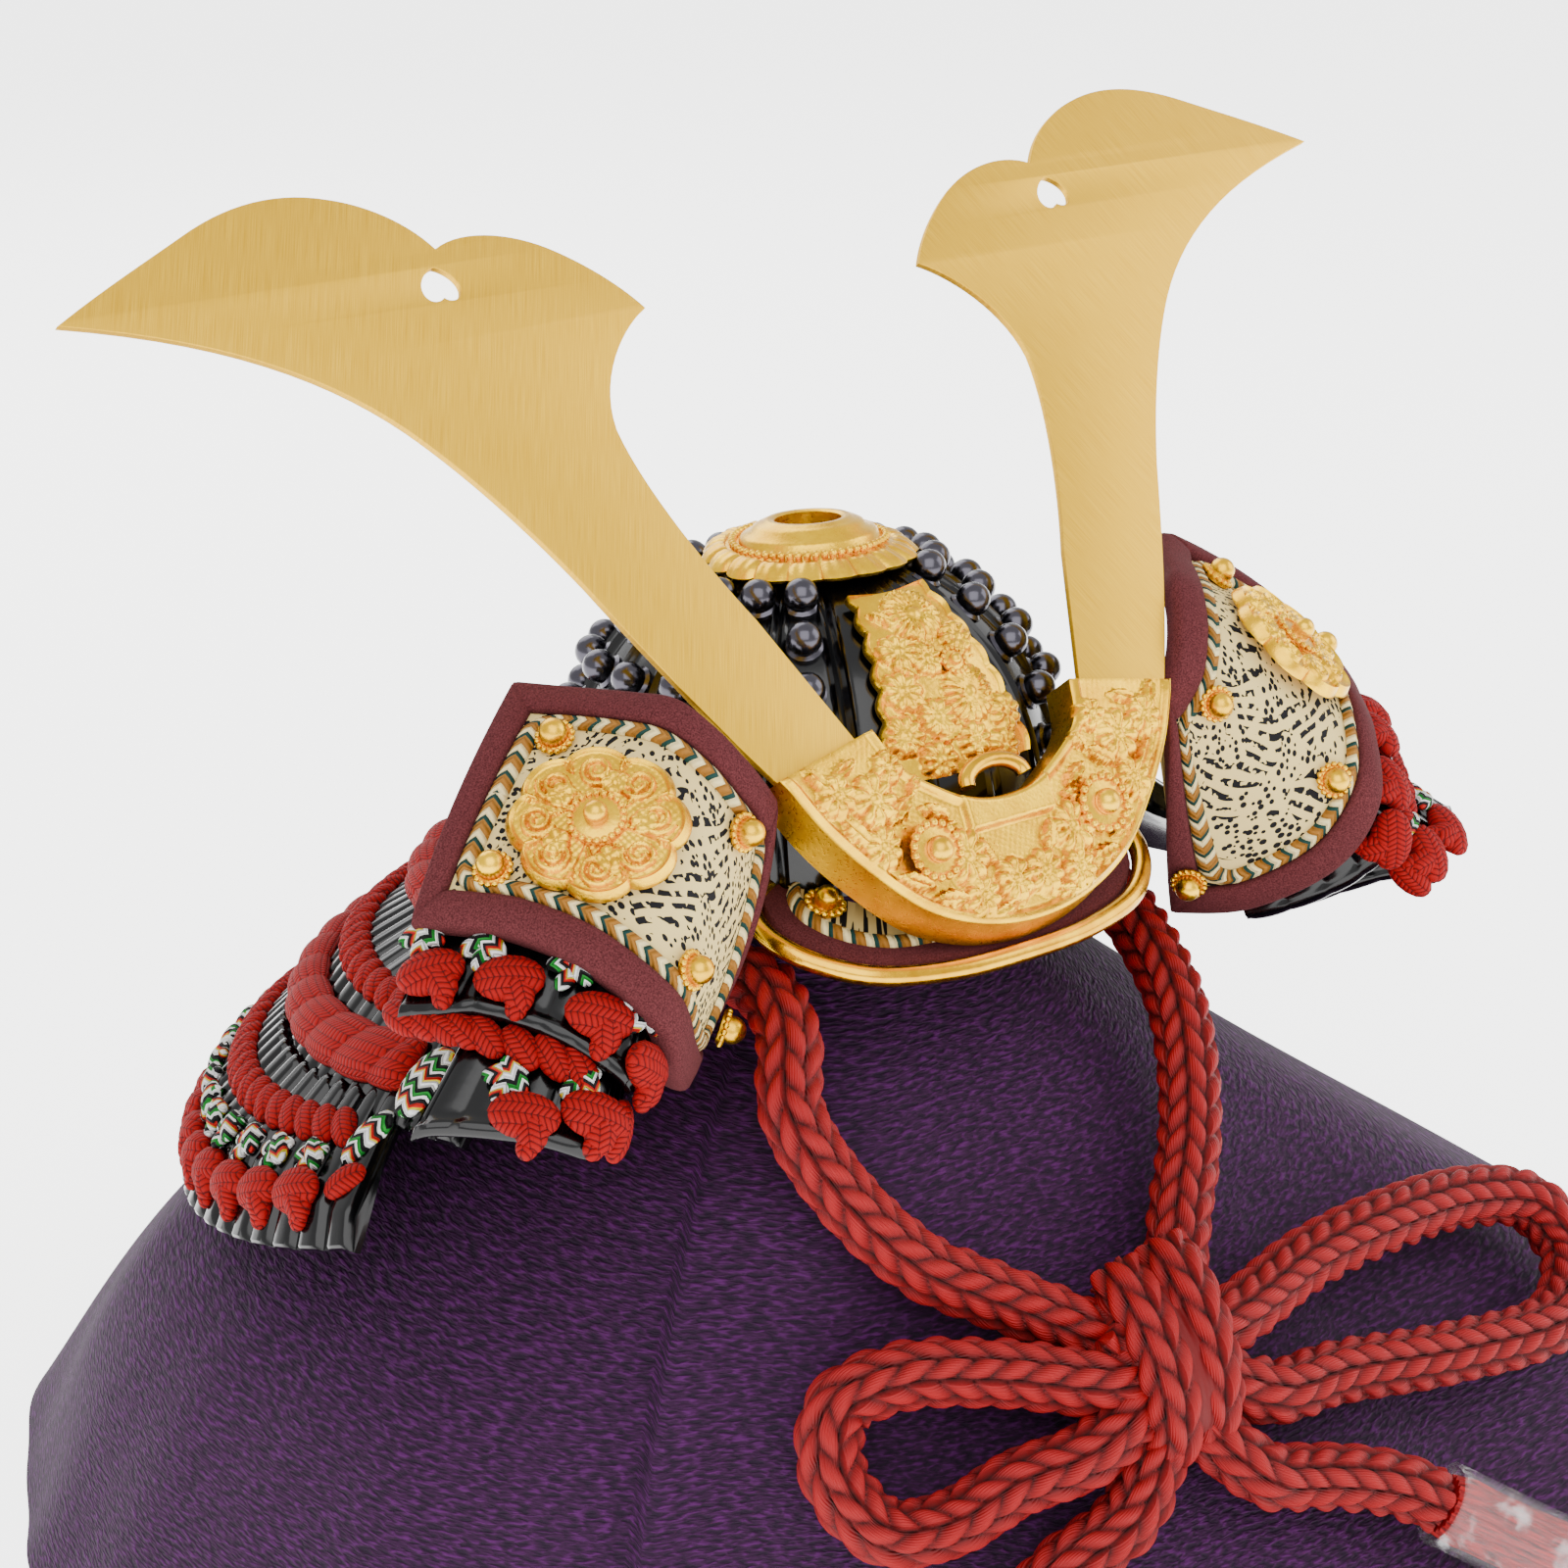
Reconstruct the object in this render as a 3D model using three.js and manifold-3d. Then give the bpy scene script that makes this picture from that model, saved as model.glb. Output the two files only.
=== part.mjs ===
// A small ornamental kabuto (samurai helmet) on its cloth-covered display stand.
// Millimetres, +Z up, the face of the helmet towards -Y.
//
// Two frames carry the pieces.  `display` has its origin at the mouth of the crown finial, level,
// CROWN_HEIGHT above the floor: the stand, the cloth and the cord live there.  `helmet` has the same
// origin and leans back by TILT: everything that is riveted or laced to the bowl lives there.

import * as THREE from 'three';
import { mergeVertices } from 'three/addons/utils/BufferGeometryUtils.js';
import Module from 'manifold-3d';

const wasm = await Module();
wasm.setup();

// ---------------------------------------------------------------- driving dimensions

const CROWN_HEIGHT = 165;
const AXIS = { x: -20.4, y: -4.2 };
const TILT = THREE.MathUtils.degToRad(6);
const GAP = 0.35;

const BOWL = { radius: 38.5, wall: 1.5, centreY: 3, centreZ: -42.8, rimZ: -50, plates: 20, ribHeight: 0.7 };
const BOWL_QUARTERS = { front: 0, right: 90, back: 180, left: 270 };
const FINIAL = { baseRadius: 16.8, holeRadius: 5.2, petals: 12, baseZ: -6.2, underZ: -12 };
const PANEL = { topHalf: 6.5, bottomHalf: 11, startAngle: 34, endAngle: 71, thickness: 2.2, holeRadius: 0.8 };

const CREST_LEAN = THREE.MathUtils.degToRad(33.2);
const HORN = { face: 17.9, thickness: 1.2 };
const CREST = { face: 20, depth: 7.5, wall: 1.4, leanFrom: -46, lean: 0.2 };
const CREST_STUD = { x: 16, y: -59.6 };
const CREST_LOOP = { halfWidth: 4.6, foot: -51.4, rise: 2.6, height: 16.5, wire: 1.2 };

const VISOR = { frontY: -48.4, frontZ: -59.4, slope: THREE.MathUtils.degToRad(26), thickness: 2.2, wire: 1.2 };
const VISOR_STUD = { x: 24, y: 19.8 };
const FLAP = { thickness: 1.6, bulge: 2.4 };
const FLAP_BINDING = { low: 0.55, height: 1.1, alongMargin: 0.075, acrossMargin: 0.125 };
const MEDALLION = { halfWidth: 13, halfHeight: 12, thickness: 1.8, lobes: 8 };
const STUD = { collar: 2.8, ball: 2, sides: 8 };
const LAME_THICKNESS = 1.3;
// How deep the boards and the knotted lacing that turn back under the flap lie below its skin.
const EAR = {
  upperBoard: [-4.4, -3.1],
  upperLacing: [-2.7, -0.6],
  lowerBoard: [-7.8, -6.5],
  lowerLacing: [-6.1, -4],
};
const CLOTH_WALL = 1.3;
const STAND = { headRadius: 11, postRadius: 7, discRadius: 60, discHeight: 6 };
const CORD_RADIUS = 4.75;
const TASSEL = { radius: 5.4, length: 36, sleeveInner: 5.9, sleeveOuter: 6.5, sleeveLength: 33 };

// ---------------------------------------------------------------- finishes

function finish(colour, roughness, metalness) {
  return new THREE.MeshStandardMaterial({ color: colour, roughness, metalness });
}

const castGold = finish('#f2b93a', 0.32, 1);
const brushedGold = finish('#e9c66b', 0.38, 1);
const wireGold = finish('#e0a010', 0.22, 1);
const blackLacquer = finish('#0c0c0e', 0.2, 0);
const brownLeather = finish('#5a3338', 0.85, 0);
const printedLeather = finish('#e9ddb5', 0.75, 0);
const redLacing = finish('#dd1e1a', 0.8, 0);
const redCord = finish('#c8141c', 0.6, 0);
const purpleCrepe = finish('#3a1a4a', 0.9, 0);
const plainWood = finish('#c9a877', 0.7, 0);
const clearPlastic = finish('#f4f2f2', 0.1, 0);

// ---------------------------------------------------------------- shape helpers

const v3 = (x, y, z) => new THREE.Vector3(x, y, z);
const radians = THREE.MathUtils.degToRad;

/** A closed body through rings of points: each ring has the same count, and the ends are fans. */
function loft(rings, closed = false) {
  const count = rings[0].length;
  const positions = [];
  const index = [];
  for (const ring of rings) {
    for (const point of ring) {
      positions.push(point.x, point.y, point.z);
    }
  }
  const spans = closed ? rings.length : rings.length - 1;
  for (let i = 0; i < spans; i += 1) {
    const here = i * count;
    const next = ((i + 1) % rings.length) * count;
    for (let j = 0; j < count; j += 1) {
      const k = (j + 1) % count;
      index.push(here + j, next + j, next + k);
      index.push(here + j, next + k, here + k);
    }
  }
  if (!closed) {
    const last = (rings.length - 1) * count;
    for (let j = 1; j < count - 1; j += 1) {
      index.push(0, j, j + 1);
      index.push(last, last + j + 1, last + j);
    }
  }
  const geometry = new THREE.BufferGeometry();
  geometry.setAttribute('position', new THREE.Float32BufferAttribute(positions, 3));
  geometry.setIndex(index);
  return outward(geometry);
}

/** Turns every face over when the signed volume is negative. */
function outward(geometry) {
  const p = geometry.attributes.position;
  const index = geometry.index.array;
  const [a, b, c] = [v3(), v3(), v3()];
  let volume = 0;
  for (let i = 0; i < index.length; i += 3) {
    a.fromBufferAttribute(p, index[i]);
    b.fromBufferAttribute(p, index[i + 1]);
    c.fromBufferAttribute(p, index[i + 2]);
    volume += a.dot(b.cross(c));
  }
  if (volume < 0) {
    for (let i = 0; i < index.length; i += 3) {
      [index[i + 1], index[i + 2]] = [index[i + 2], index[i + 1]];
    }
  }
  return geometry;
}

/** Merges a geometry's shared corners by position only, as a boolean needs it. */
function welded(geometry) {
  const bare = geometry.clone();
  bare.deleteAttribute('normal');
  bare.deleteAttribute('uv');
  return mergeVertices(bare, 1e-4);
}

function toSolid(geometry) {
  const bare = welded(geometry);
  const mesh = new wasm.Mesh({
    numProp: 3,
    vertProperties: new Float32Array(bare.attributes.position.array),
    triVerts: new Uint32Array(bare.index.array),
  });
  return new wasm.Manifold(mesh);
}

function fromSolid(solid) {
  const mesh = solid.getMesh();
  const geometry = new THREE.BufferGeometry();
  geometry.setAttribute('position', new THREE.Float32BufferAttribute(mesh.vertProperties, 3));
  geometry.setIndex(Array.from(mesh.triVerts));
  return geometry;
}

function cut(base, ...tools) {
  return fromSolid(tools.reduce((solid, tool) => solid.subtract(toSolid(tool)), toSolid(base)));
}

function common(base, room) {
  return fromSolid(toSolid(base).intersect(toSolid(room)));
}

/** Turns a profile of [radius, height] pairs about Z; it starts and ends on the axis or closes. */
function turned(profile, segments) {
  const points = profile.map(([r, z]) => new THREE.Vector2(r, z));
  return outward(welded(new THREE.LatheGeometry(points, segments).rotateX(Math.PI / 2)));
}

/** An outline in the XY plane made solid from `low` to `high` along Z. */
function plate(outline, low, high, holes = []) {
  const shape = new THREE.Shape(outline);
  shape.holes = holes.map((hole) => new THREE.Path(hole));
  const options = { depth: high - low, bevelEnabled: false, curveSegments: 12 };
  return new THREE.ExtrudeGeometry(shape, options).translate(0, 0, low);
}

/** A round tube of flat-ended steps along a smooth curve. */
function tube(points, radius, steps, sides, closed = false) {
  const circle = new THREE.Shape();
  circle.absarc(0, 0, radius, 0, 2 * Math.PI, false);
  const path = new THREE.CatmullRomCurve3(points, closed, 'centripetal');
  const options = { steps, bevelEnabled: false, extrudePath: path, curveSegments: sides / 2 };
  return new THREE.ExtrudeGeometry(circle, options);
}

function mirrored(geometry) {
  const copy = welded(geometry).scale(-1, 1, 1);
  return outward(copy);
}

/** Smooth interpolation through table rows by their column names, at u from 0 to 1. */
function column(rows, name, u) {
  const place = THREE.MathUtils.clamp(u, 0, 1) * (rows.length - 1);
  const i = Math.min(Math.floor(place), rows.length - 2);
  const t = place - i;
  const value = (k) => rows[THREE.MathUtils.clamp(k, 0, rows.length - 1)][name];
  const [a, b, c, d] = [value(i - 1), value(i), value(i + 1), value(i + 2)];
  const slopeIn = (c - a) / 2;
  const slopeOut = (d - b) / 2;
  const t2 = t * t;
  const t3 = t2 * t;
  return (2 * t3 - 3 * t2 + 1) * b + (t3 - 2 * t2 + t) * slopeIn
    + (3 * t2 - 2 * t3) * c + (t3 - t2) * slopeOut;
}

// ---------------------------------------------------------------- scene graph

const object = new THREE.Group();
const display = new THREE.Group();
display.position.set(AXIS.x, AXIS.y, CROWN_HEIGHT);
object.add(display);

const helmet = new THREE.Group();
helmet.rotation.x = -TILT;
display.add(helmet);

const crest = new THREE.Group();
crest.rotation.x = Math.PI / 2 - CREST_LEAN;
helmet.add(crest);

const visor = new THREE.Group();
visor.position.set(0, VISOR.frontY, VISOR.frontZ);
visor.rotation.x = VISOR.slope;
helmet.add(visor);

function piece(name, geometry, material, parent) {
  const mesh = new THREE.Mesh(geometry, material);
  mesh.name = name;
  parent.add(mesh);
  return mesh;
}

// ---------------------------------------------------------------- bowl and finial

/** A point on a sphere about the bowl's centre: polar angle from the top, azimuth from the face. */
function bowlPoint(radius, polar, azimuth) {
  const ring = radius * Math.sin(polar);
  const y = BOWL.centreY - ring * Math.cos(azimuth);
  return v3(ring * Math.sin(azimuth), y, BOWL.centreZ + radius * Math.cos(polar));
}

function bowlShell() {
  const around = BOWL.plates * 2;
  const outerAngles = [5, 25, 37, 49, 61, 73, 86];
  const rings = [];
  const circle = (radius, polar, rib) => Array.from({ length: around }, (_, i) => {
    const raised = i % 2 === 1 ? rib : 0;
    return bowlPoint(radius + raised, radians(polar), (i * Math.PI) / BOWL.plates);
  });
  const band = (radius, z) => circle(radius, 90, 0).map((point) => v3(point.x, point.y, z));
  const inner = BOWL.radius - BOWL.wall;
  outerAngles.forEach((polar) => rings.push(circle(BOWL.radius, polar, polar > 20 ? BOWL.ribHeight : 0)));
  rings.push(band(BOWL.radius, BOWL.rimZ));
  rings.push(band(inner, BOWL.rimZ));
  [86, 58, 34, 8].forEach((polar) => rings.push(circle(inner, polar, 0)));
  return loft(rings);
}

/** The quarter of the bowl about an azimuth, five plates wide, with half a gap shaved off each seam. */
function bowlQuarter(bowl, azimuth) {
  const halfTurn = 45;
  const from = (turn, reach) => {
    const angle = radians(azimuth + turn);
    return new THREE.Vector2(reach * Math.sin(angle), -reach * Math.cos(angle));
  };
  const apex = from(0, GAP / 2 / Math.sin(radians(halfTurn))).add(new THREE.Vector2(0, BOWL.centreY));
  const farCorners = [-halfTurn, halfTurn].map((turn) => from(turn, 2 * BOWL.radius).add(apex));
  return common(bowl, plate([apex, ...farCorners], -2 * BOWL.radius, BOWL.radius));
}

/** The height of the ribbed bowl's skin, with a gap, above a point beside the finial's axis. */
function bowlTop(x, y) {
  const reach = BOWL.radius + BOWL.ribHeight + GAP;
  return BOWL.centreZ + Math.sqrt(reach ** 2 - x ** 2 - (y - BOWL.centreY) ** 2);
}

function crownFinial() {
  const count = FINIAL.petals * 2;
  const profile = [
    { radius: FINIAL.holeRadius, lift: 0, z: FINIAL.underZ, petal: 0 },
    { radius: 15.2, lift: 0, z: FINIAL.underZ, petal: 0.3 },
    { radius: FINIAL.baseRadius, lift: 1, z: FINIAL.baseZ - 0.2, petal: 0.9 },
    { radius: 13.2, lift: 1.9, z: FINIAL.baseZ + 2.2, petal: 0.3 },
    { radius: 11.7, lift: 1.6, z: -2.6, petal: 0 },
    { radius: 8.6, lift: 0, z: -1.2, petal: 0 },
    { radius: 6.6, lift: 0, z: 0, petal: 0 },
    { radius: FINIAL.holeRadius, lift: 0, z: 0, petal: 0 },
  ];
  const rings = profile.map(({ radius, lift, z, petal }) => Array.from({ length: count }, (_, i) => {
    const angle = (i * 2 * Math.PI) / count;
    const reach = radius + petal * (i % 2 === 0 ? 0.5 : -0.5);
    const [x, y] = [reach * Math.sin(angle), -reach * Math.cos(angle)];
    return v3(x, y, Math.max(z, bowlTop(x, y) + lift));
  }));
  return loft(rings, true);
}

/** The cast relief strip that runs down the middle front plate from finial to crest. */
function frontPanel() {
  const steps = 8;
  const across = [-1, -0.55, 0, 0.55, 1];
  const rings = [];
  for (let i = 0; i <= steps; i += 1) {
    const t = i / steps;
    const polar = radians(THREE.MathUtils.lerp(PANEL.startAngle, PANEL.endAngle, t));
    const scallop = i % 2 === 0 ? 0.6 : -0.4;
    const half = THREE.MathUtils.lerp(PANEL.topHalf, PANEL.bottomHalf, t) + scallop;
    const low = BOWL.radius + BOWL.ribHeight + GAP;
    const edge = (side, height) => bowlPoint(low + height, polar, (side * half) / (low * Math.sin(polar)));
    const top = across.map((side) => edge(side, PANEL.thickness * (1 - 0.45 * side * side)));
    const under = across.map((side) => edge(side, 0)).reverse();
    rings.push([...top, ...under]);
  }
  const strip = loft(rings);
  const holes = [
    { polar: 45, side: 5.4 },
    { polar: 51, side: -6 },
    { polar: 62, side: 7 },
  ].map(({ polar, side }) => {
    const angle = radians(polar);
    const azimuth = side / (BOWL.radius * Math.sin(angle));
    const centre = bowlPoint(BOWL.radius + 2, angle, azimuth);
    const along = bowlPoint(1, angle, azimuth).sub(v3(0, BOWL.centreY, BOWL.centreZ));
    const drill = new THREE.CylinderGeometry(PANEL.holeRadius, PANEL.holeRadius, 9, 5);
    drill.applyQuaternion(new THREE.Quaternion().setFromUnitVectors(v3(0, 1, 0), along.normalize()));
    return drill.translate(centre.x, centre.y, centre.z);
  });
  return cut(strip, ...holes);
}

for (const [side, azimuth] of Object.entries(BOWL_QUARTERS)) {
  piece(`bowl_plates_${side}`, bowlQuarter(bowlShell(), azimuth), blackLacquer, helmet);
}
piece('crown_finial', crownFinial(), castGold, helmet);
piece('front_panel', frontPanel(), castGold, helmet);

// ---------------------------------------------------------------- crest: horns and their holder

// The crest group's XY plane is the plane of the horns: X across, Y up the plate, +Z out of its face.

/** The blade outline of the horn on the +X side, from the tang round by the outer edge. */
function hornOutline() {
  const path = new THREE.Shape();
  path.moveTo(28.6, -52);
  path.lineTo(31.6, -45);
  path.lineTo(36.4, -45);
  path.bezierCurveTo(43, -34, 49, -21, 54.1, -9.6);
  path.bezierCurveTo(59, 0.5, 65, 10.5, 71.5, 18.2);
  path.bezierCurveTo(80, 28, 93, 36, 115.9, 41.6);
  path.bezierCurveTo(108, 45.8, 100, 49.2, 93.5, 52.2);
  path.bezierCurveTo(85, 56.2, 77, 57.2, 69.5, 54.8);
  path.bezierCurveTo(64, 53.2, 58.6, 49.6, 55.9, 44.9);
  path.bezierCurveTo(51, 47.4, 43.5, 46, 38, 42.6);
  path.bezierCurveTo(33, 39.4, 28.4, 35, 25.8, 30.7);
  path.bezierCurveTo(31, 28.2, 38.4, 21, 38.9, 12.6);
  path.bezierCurveTo(38.6, 3, 33, -12, 29.2, -20);
  path.lineTo(21.2, -41.4);
  path.lineTo(22.2, -45);
  path.lineTo(19.4, -51);
  return path.getPoints(4);
}

/** The small heart pierced under the notch between the horn's two lobes. */
function heartOutline() {
  const heart = new THREE.Path();
  heart.moveTo(57.4, 42);
  heart.bezierCurveTo(58.4, 42, 60.8, 40.4, 60.6, 38.4);
  heart.bezierCurveTo(60.4, 36.6, 58.6, 36.4, 57.6, 37.2);
  heart.bezierCurveTo(56.8, 36.2, 54.8, 36.4, 54.5, 38.2);
  heart.bezierCurveTo(54.3, 40, 56.2, 41.6, 57.4, 42);
  return heart.getPoints(3).slice(0, -1);
}

/** The crescent of the crest stand, moved in by `inset` all round. */
function crescentOutline(inset) {
  const outer = [[36.8, -44.6], [32.6, -52.6], [26.7, -60], [19, -67.2], [10, -71.2], [0, -72.6]];
  const inner = [[0, -54.3], [6, -53.4], [11.4, -50.6], [16.4, -46.6], [19.2, -40.8], [26.4, -42.2]];
  const right = [...inner, ...outer].map(([x, y]) => new THREE.Vector2(x, y));
  const left = right.slice(1, -1).reverse().map((point) => new THREE.Vector2(-point.x, point.y));
  const ring = [...right, ...left];
  return ring.map((point, i) => {
    const before = ring[(i + ring.length - 1) % ring.length];
    const after = ring[(i + 1) % ring.length];
    const along = after.clone().sub(before).normalize();
    return new THREE.Vector2(point.x + along.y * inset, point.y - along.x * inset);
  });
}

/** Leans what lies below the arms of the crest stand back towards the bowl. */
function leanedBack(geometry) {
  const bare = welded(geometry);
  const p = bare.attributes.position;
  for (let i = 0; i < p.count; i += 1) {
    p.setZ(i, p.getZ(i) - CREST.lean * Math.max(CREST.leanFrom - p.getY(i), 0));
  }
  return bare;
}

function crestStand() {
  const back = CREST.face - CREST.depth;
  const block = leanedBack(plate(crescentOutline(0), back, CREST.face));
  const hollow = leanedBack(plate(crescentOutline(-CREST.wall), back - 1, CREST.face - CREST.wall));
  const slotLow = HORN.face - HORN.thickness - GAP;
  const slotHigh = HORN.face + GAP;
  const mouth = [[19, -52.4], [29.2, -52.4], [33, -45.4], [37.6, -45.4], [37.6, -38], [19, -38]];
  const slot = plate(mouth.map(([x, y]) => new THREE.Vector2(x, y)), slotLow, slotHigh);
  return cut(block, hollow, slot, mirrored(slot));
}

/** The round bridge of smooth metal that stands in the notch of the crest stand. */
function crestLoop() {
  const points = [];
  for (let i = 0; i <= 6; i += 1) {
    const angle = (i * Math.PI) / 6;
    const [across, up] = [CREST_LOOP.halfWidth * Math.cos(angle), CREST_LOOP.rise * Math.sin(angle)];
    points.push(v3(across, CREST_LOOP.foot + up, CREST_LOOP.height));
  }
  return tube(points, CREST_LOOP.wire, 6, 6);
}

/** A stud with a collar of the given radius and a ball, its foot at z = 0. */
function stud(collar, ball, segments) {
  return turned([[0, 0], [collar, 0], [collar, 0.9], [ball, 1.3 + ball * 0.4],
    [ball * 0.7, 1.3 + ball * 1.4], [0, 1.3 + ball * 1.75]], segments);
}

const hornShape = plate(hornOutline(), HORN.face - HORN.thickness, HORN.face, [heartOutline()]);
piece('horn_right', hornShape, brushedGold, crest);
piece('horn_left', mirrored(hornShape), brushedGold, crest);
piece('crest_stand', crestStand(), castGold, crest);
piece('crest_loop', crestLoop(), wireGold, crest);
for (const [side, x] of [['left', -CREST_STUD.x], ['right', CREST_STUD.x]]) {
  const rosette = turned([[0, 0], [4.3, 0], [4.3, 0.9], [3, 1.5], [1.9, 1.5], [1.4, 2.6], [0, 3]], 10);
  const mesh = piece(`crest_stud_${side}`, rosette, castGold, crest);
  const down = CREST.leanFrom - CREST_STUD.y;
  mesh.position.set(x, CREST_STUD.y, CREST.face - CREST.lean * down + GAP);
  mesh.rotation.x = Math.atan(CREST.lean);
}

// ---------------------------------------------------------------- visor

// The visor group's XY plane is the visor's sloping face, with its front middle at the origin.

function visorOutline(inset) {
  const half = [
    [0, 0], [14.4, 1], [26.5, 4.9], [33.6, 11.6], [36.2, 18.6], [34.6, 24.8], [28, 29],
  ];
  const right = half.map(([x, y]) => v3(x, y, 0));
  const left = right.slice(1).reverse().map((point) => v3(-point.x, point.y, 0));
  const centre = v3(0, 24, 0);
  return [...left, ...right].map((point) => {
    const inwards = centre.clone().sub(point).setLength(inset);
    return point.clone().add(inwards);
  });
}

function visorPlate() {
  const outline = visorOutline(2 * VISOR.wire + 2 * GAP);
  const smooth = new THREE.CatmullRomCurve3(outline, true).getPoints(30).slice(0, -1);
  const board = plate(smooth.map((point) => new THREE.Vector2(point.x, point.y)), -VISOR.thickness, 0);
  const bowlRoom = new THREE.CylinderGeometry(BOWL.radius + GAP, BOWL.radius + GAP, 90, 40).rotateX(Math.PI / 2);
  bowlRoom.rotateX(-VISOR.slope);
  const axis = v3(0, BOWL.centreY - VISOR.frontY, 0).applyAxisAngle(v3(1, 0, 0), -VISOR.slope);
  return cut(board, bowlRoom.translate(axis.x, axis.y, axis.z));
}

function visorRim() {
  const outline = visorOutline(VISOR.wire).slice(1, -1);
  return tube(outline.map((point) => v3(point.x, point.y, -VISOR.thickness / 2)), VISOR.wire, 18, 6);
}

piece('visor_plate', visorPlate(), brownLeather, visor);
piece('visor_rim', visorRim(), wireGold, visor);
for (const [side, x] of [['left', -VISOR_STUD.x], ['right', VISOR_STUD.x]]) {
  piece(`visor_stud_${side}`, stud(3, 1.7, STUD.sides), castGold, visor).position.set(x, VISOR_STUD.y, GAP);
}

// ---------------------------------------------------------------- turned-back flaps

// Sections of the +X flap from its front fold to its back edge: the top edge and the bottom edge.
const FLAP_SECTIONS = [
  { topX: 36.8, topY: -38, topZ: -29.6, lowX: 48.8, lowY: -26, lowZ: -69.4 },
  { topX: 39, topY: -38, topZ: -26.5, lowX: 56.1, lowY: -36.5, lowZ: -68.3 },
  { topX: 41.2, topY: -37, topZ: -23.1, lowX: 64, lowY: -47.5, lowZ: -61.5 },
  { topX: 44.1, topY: -34, topZ: -18.5, lowX: 68.7, lowY: -52, lowZ: -52.2 },
  { topX: 46.9, topY: -30, topZ: -14.9, lowX: 74.7, lowY: -45.5, lowZ: -43.8 },
  { topX: 50.4, topY: -25.5, topZ: -14.1, lowX: 80.5, lowY: -36.5, lowZ: -39.8 },
  { topX: 55.5, topY: -18.5, topZ: -13.5, lowX: 84.8, lowY: -30.5, lowZ: -39 },
  { topX: 61.8, topY: -11.5, topZ: -12.5, lowX: 89, lowY: -24.5, lowZ: -38.8 },
];

/** A point on a flap: s from fold to back edge, t from top to bottom edge, no lift. */
function flapSkin(s, t) {
  const edge = (names) => v3(...names.map((name) => column(FLAP_SECTIONS, name, s)));
  return edge(['topX', 'topY', 'topZ']).lerp(edge(['lowX', 'lowY', 'lowZ']), t);
}

/** The flap's outward direction there. */
function flapNormal(s, t) {
  const step = 0.04;
  const s0 = THREE.MathUtils.clamp(s, step, 1 - step);
  const along = flapSkin(s0 + step, t).sub(flapSkin(s0 - step, t));
  const down = flapSkin(s0, t + step).sub(flapSkin(s0, t - step));
  return down.cross(along).normalize();
}

/** The same point with the leather's bulge, lifted by `height` off the skin. */
function flapPoint(s, t, height) {
  const inside = THREE.MathUtils.clamp(t, 0, 1);
  const bulge = FLAP.bulge * 4 * inside * (1 - inside);
  return flapSkin(s, t).addScaledVector(flapNormal(s, t), bulge + height);
}

/** A sheet along the flap's skin between two heights: `edges` rows give its top and bottom edge. */
function flapSheet(edges, low, high, columns = 10, rows = 4) {
  const rings = [];
  for (let i = 0; i <= columns; i += 1) {
    const s = column(edges, 's', i / columns);
    const upper = [];
    const under = [];
    for (let j = 0; j <= rows; j += 1) {
      const t = THREE.MathUtils.lerp(column(edges, 'from', i / columns), column(edges, 'to', i / columns), j / rows);
      upper.push(flapPoint(s, t, high));
      under.push(flapPoint(s, t, low));
    }
    rings.push([...upper, ...under.reverse()]);
  }
  return loft(rings);
}

/** The leather binding: a raised frame along all four edges. */
function flapBorder() {
  const { low, height, alongMargin, acrossMargin } = FLAP_BINDING;
  const corners = [];
  const walk = (s0, t0, s1, t1, steps) => {
    for (let i = 0; i < steps; i += 1) {
      corners.push([THREE.MathUtils.lerp(s0, s1, i / steps), THREE.MathUtils.lerp(t0, t1, i / steps)]);
    }
  };
  walk(0, 0, 1, 0, 10);
  walk(1, 0, 1, 1, 4);
  walk(1, 1, 0, 1, 10);
  walk(0, 1, 0, 0, 4);
  const rings = corners.map(([s, t]) => {
    const sIn = THREE.MathUtils.clamp(s, alongMargin, 1 - alongMargin);
    const tIn = THREE.MathUtils.clamp(t, acrossMargin, 1 - acrossMargin);
    return [
      flapPoint(s, t, low),
      flapPoint(s, t, low + height),
      flapPoint(sIn, tIn, low + height),
      flapPoint(sIn, tIn, low),
    ];
  });
  return loft(rings, true);
}

function medallion() {
  const outline = [];
  const steps = MEDALLION.lobes * 4;
  for (let i = 0; i < steps; i += 1) {
    const angle = (i * 2 * Math.PI) / steps;
    const lobe = 1 - 0.07 * Math.abs(Math.cos((MEDALLION.lobes * angle) / 2));
    const [across, up] = [MEDALLION.halfWidth * Math.cos(angle), MEDALLION.halfHeight * Math.sin(angle)];
    outline.push(new THREE.Vector2(across, up).multiplyScalar(lobe));
  }
  return plate(outline, 0, MEDALLION.thickness);
}

/** Stands a piece made about +Z on the flap's skin, its X along the flap. */
function onFlap(mesh, s, t, height, side) {
  const centre = flapPoint(s, t, height);
  const out = flapNormal(s, t);
  const along = flapSkin(Math.min(s + 0.03, 1), t).sub(flapSkin(s - 0.03, t));
  along.addScaledVector(out, -along.dot(out)).normalize();
  if (side < 0) {
    centre.x *= -1;
    out.x *= -1;
    along.x *= -1;
  }
  const up = out.clone().cross(along);
  mesh.quaternion.setFromRotationMatrix(new THREE.Matrix4().makeBasis(along, up, out));
  mesh.position.copy(centre);
}

const BOARD_EDGES = [
  { s: 0, from: 0, to: 1 },
  { s: 1, from: 0, to: 1 },
];

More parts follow.
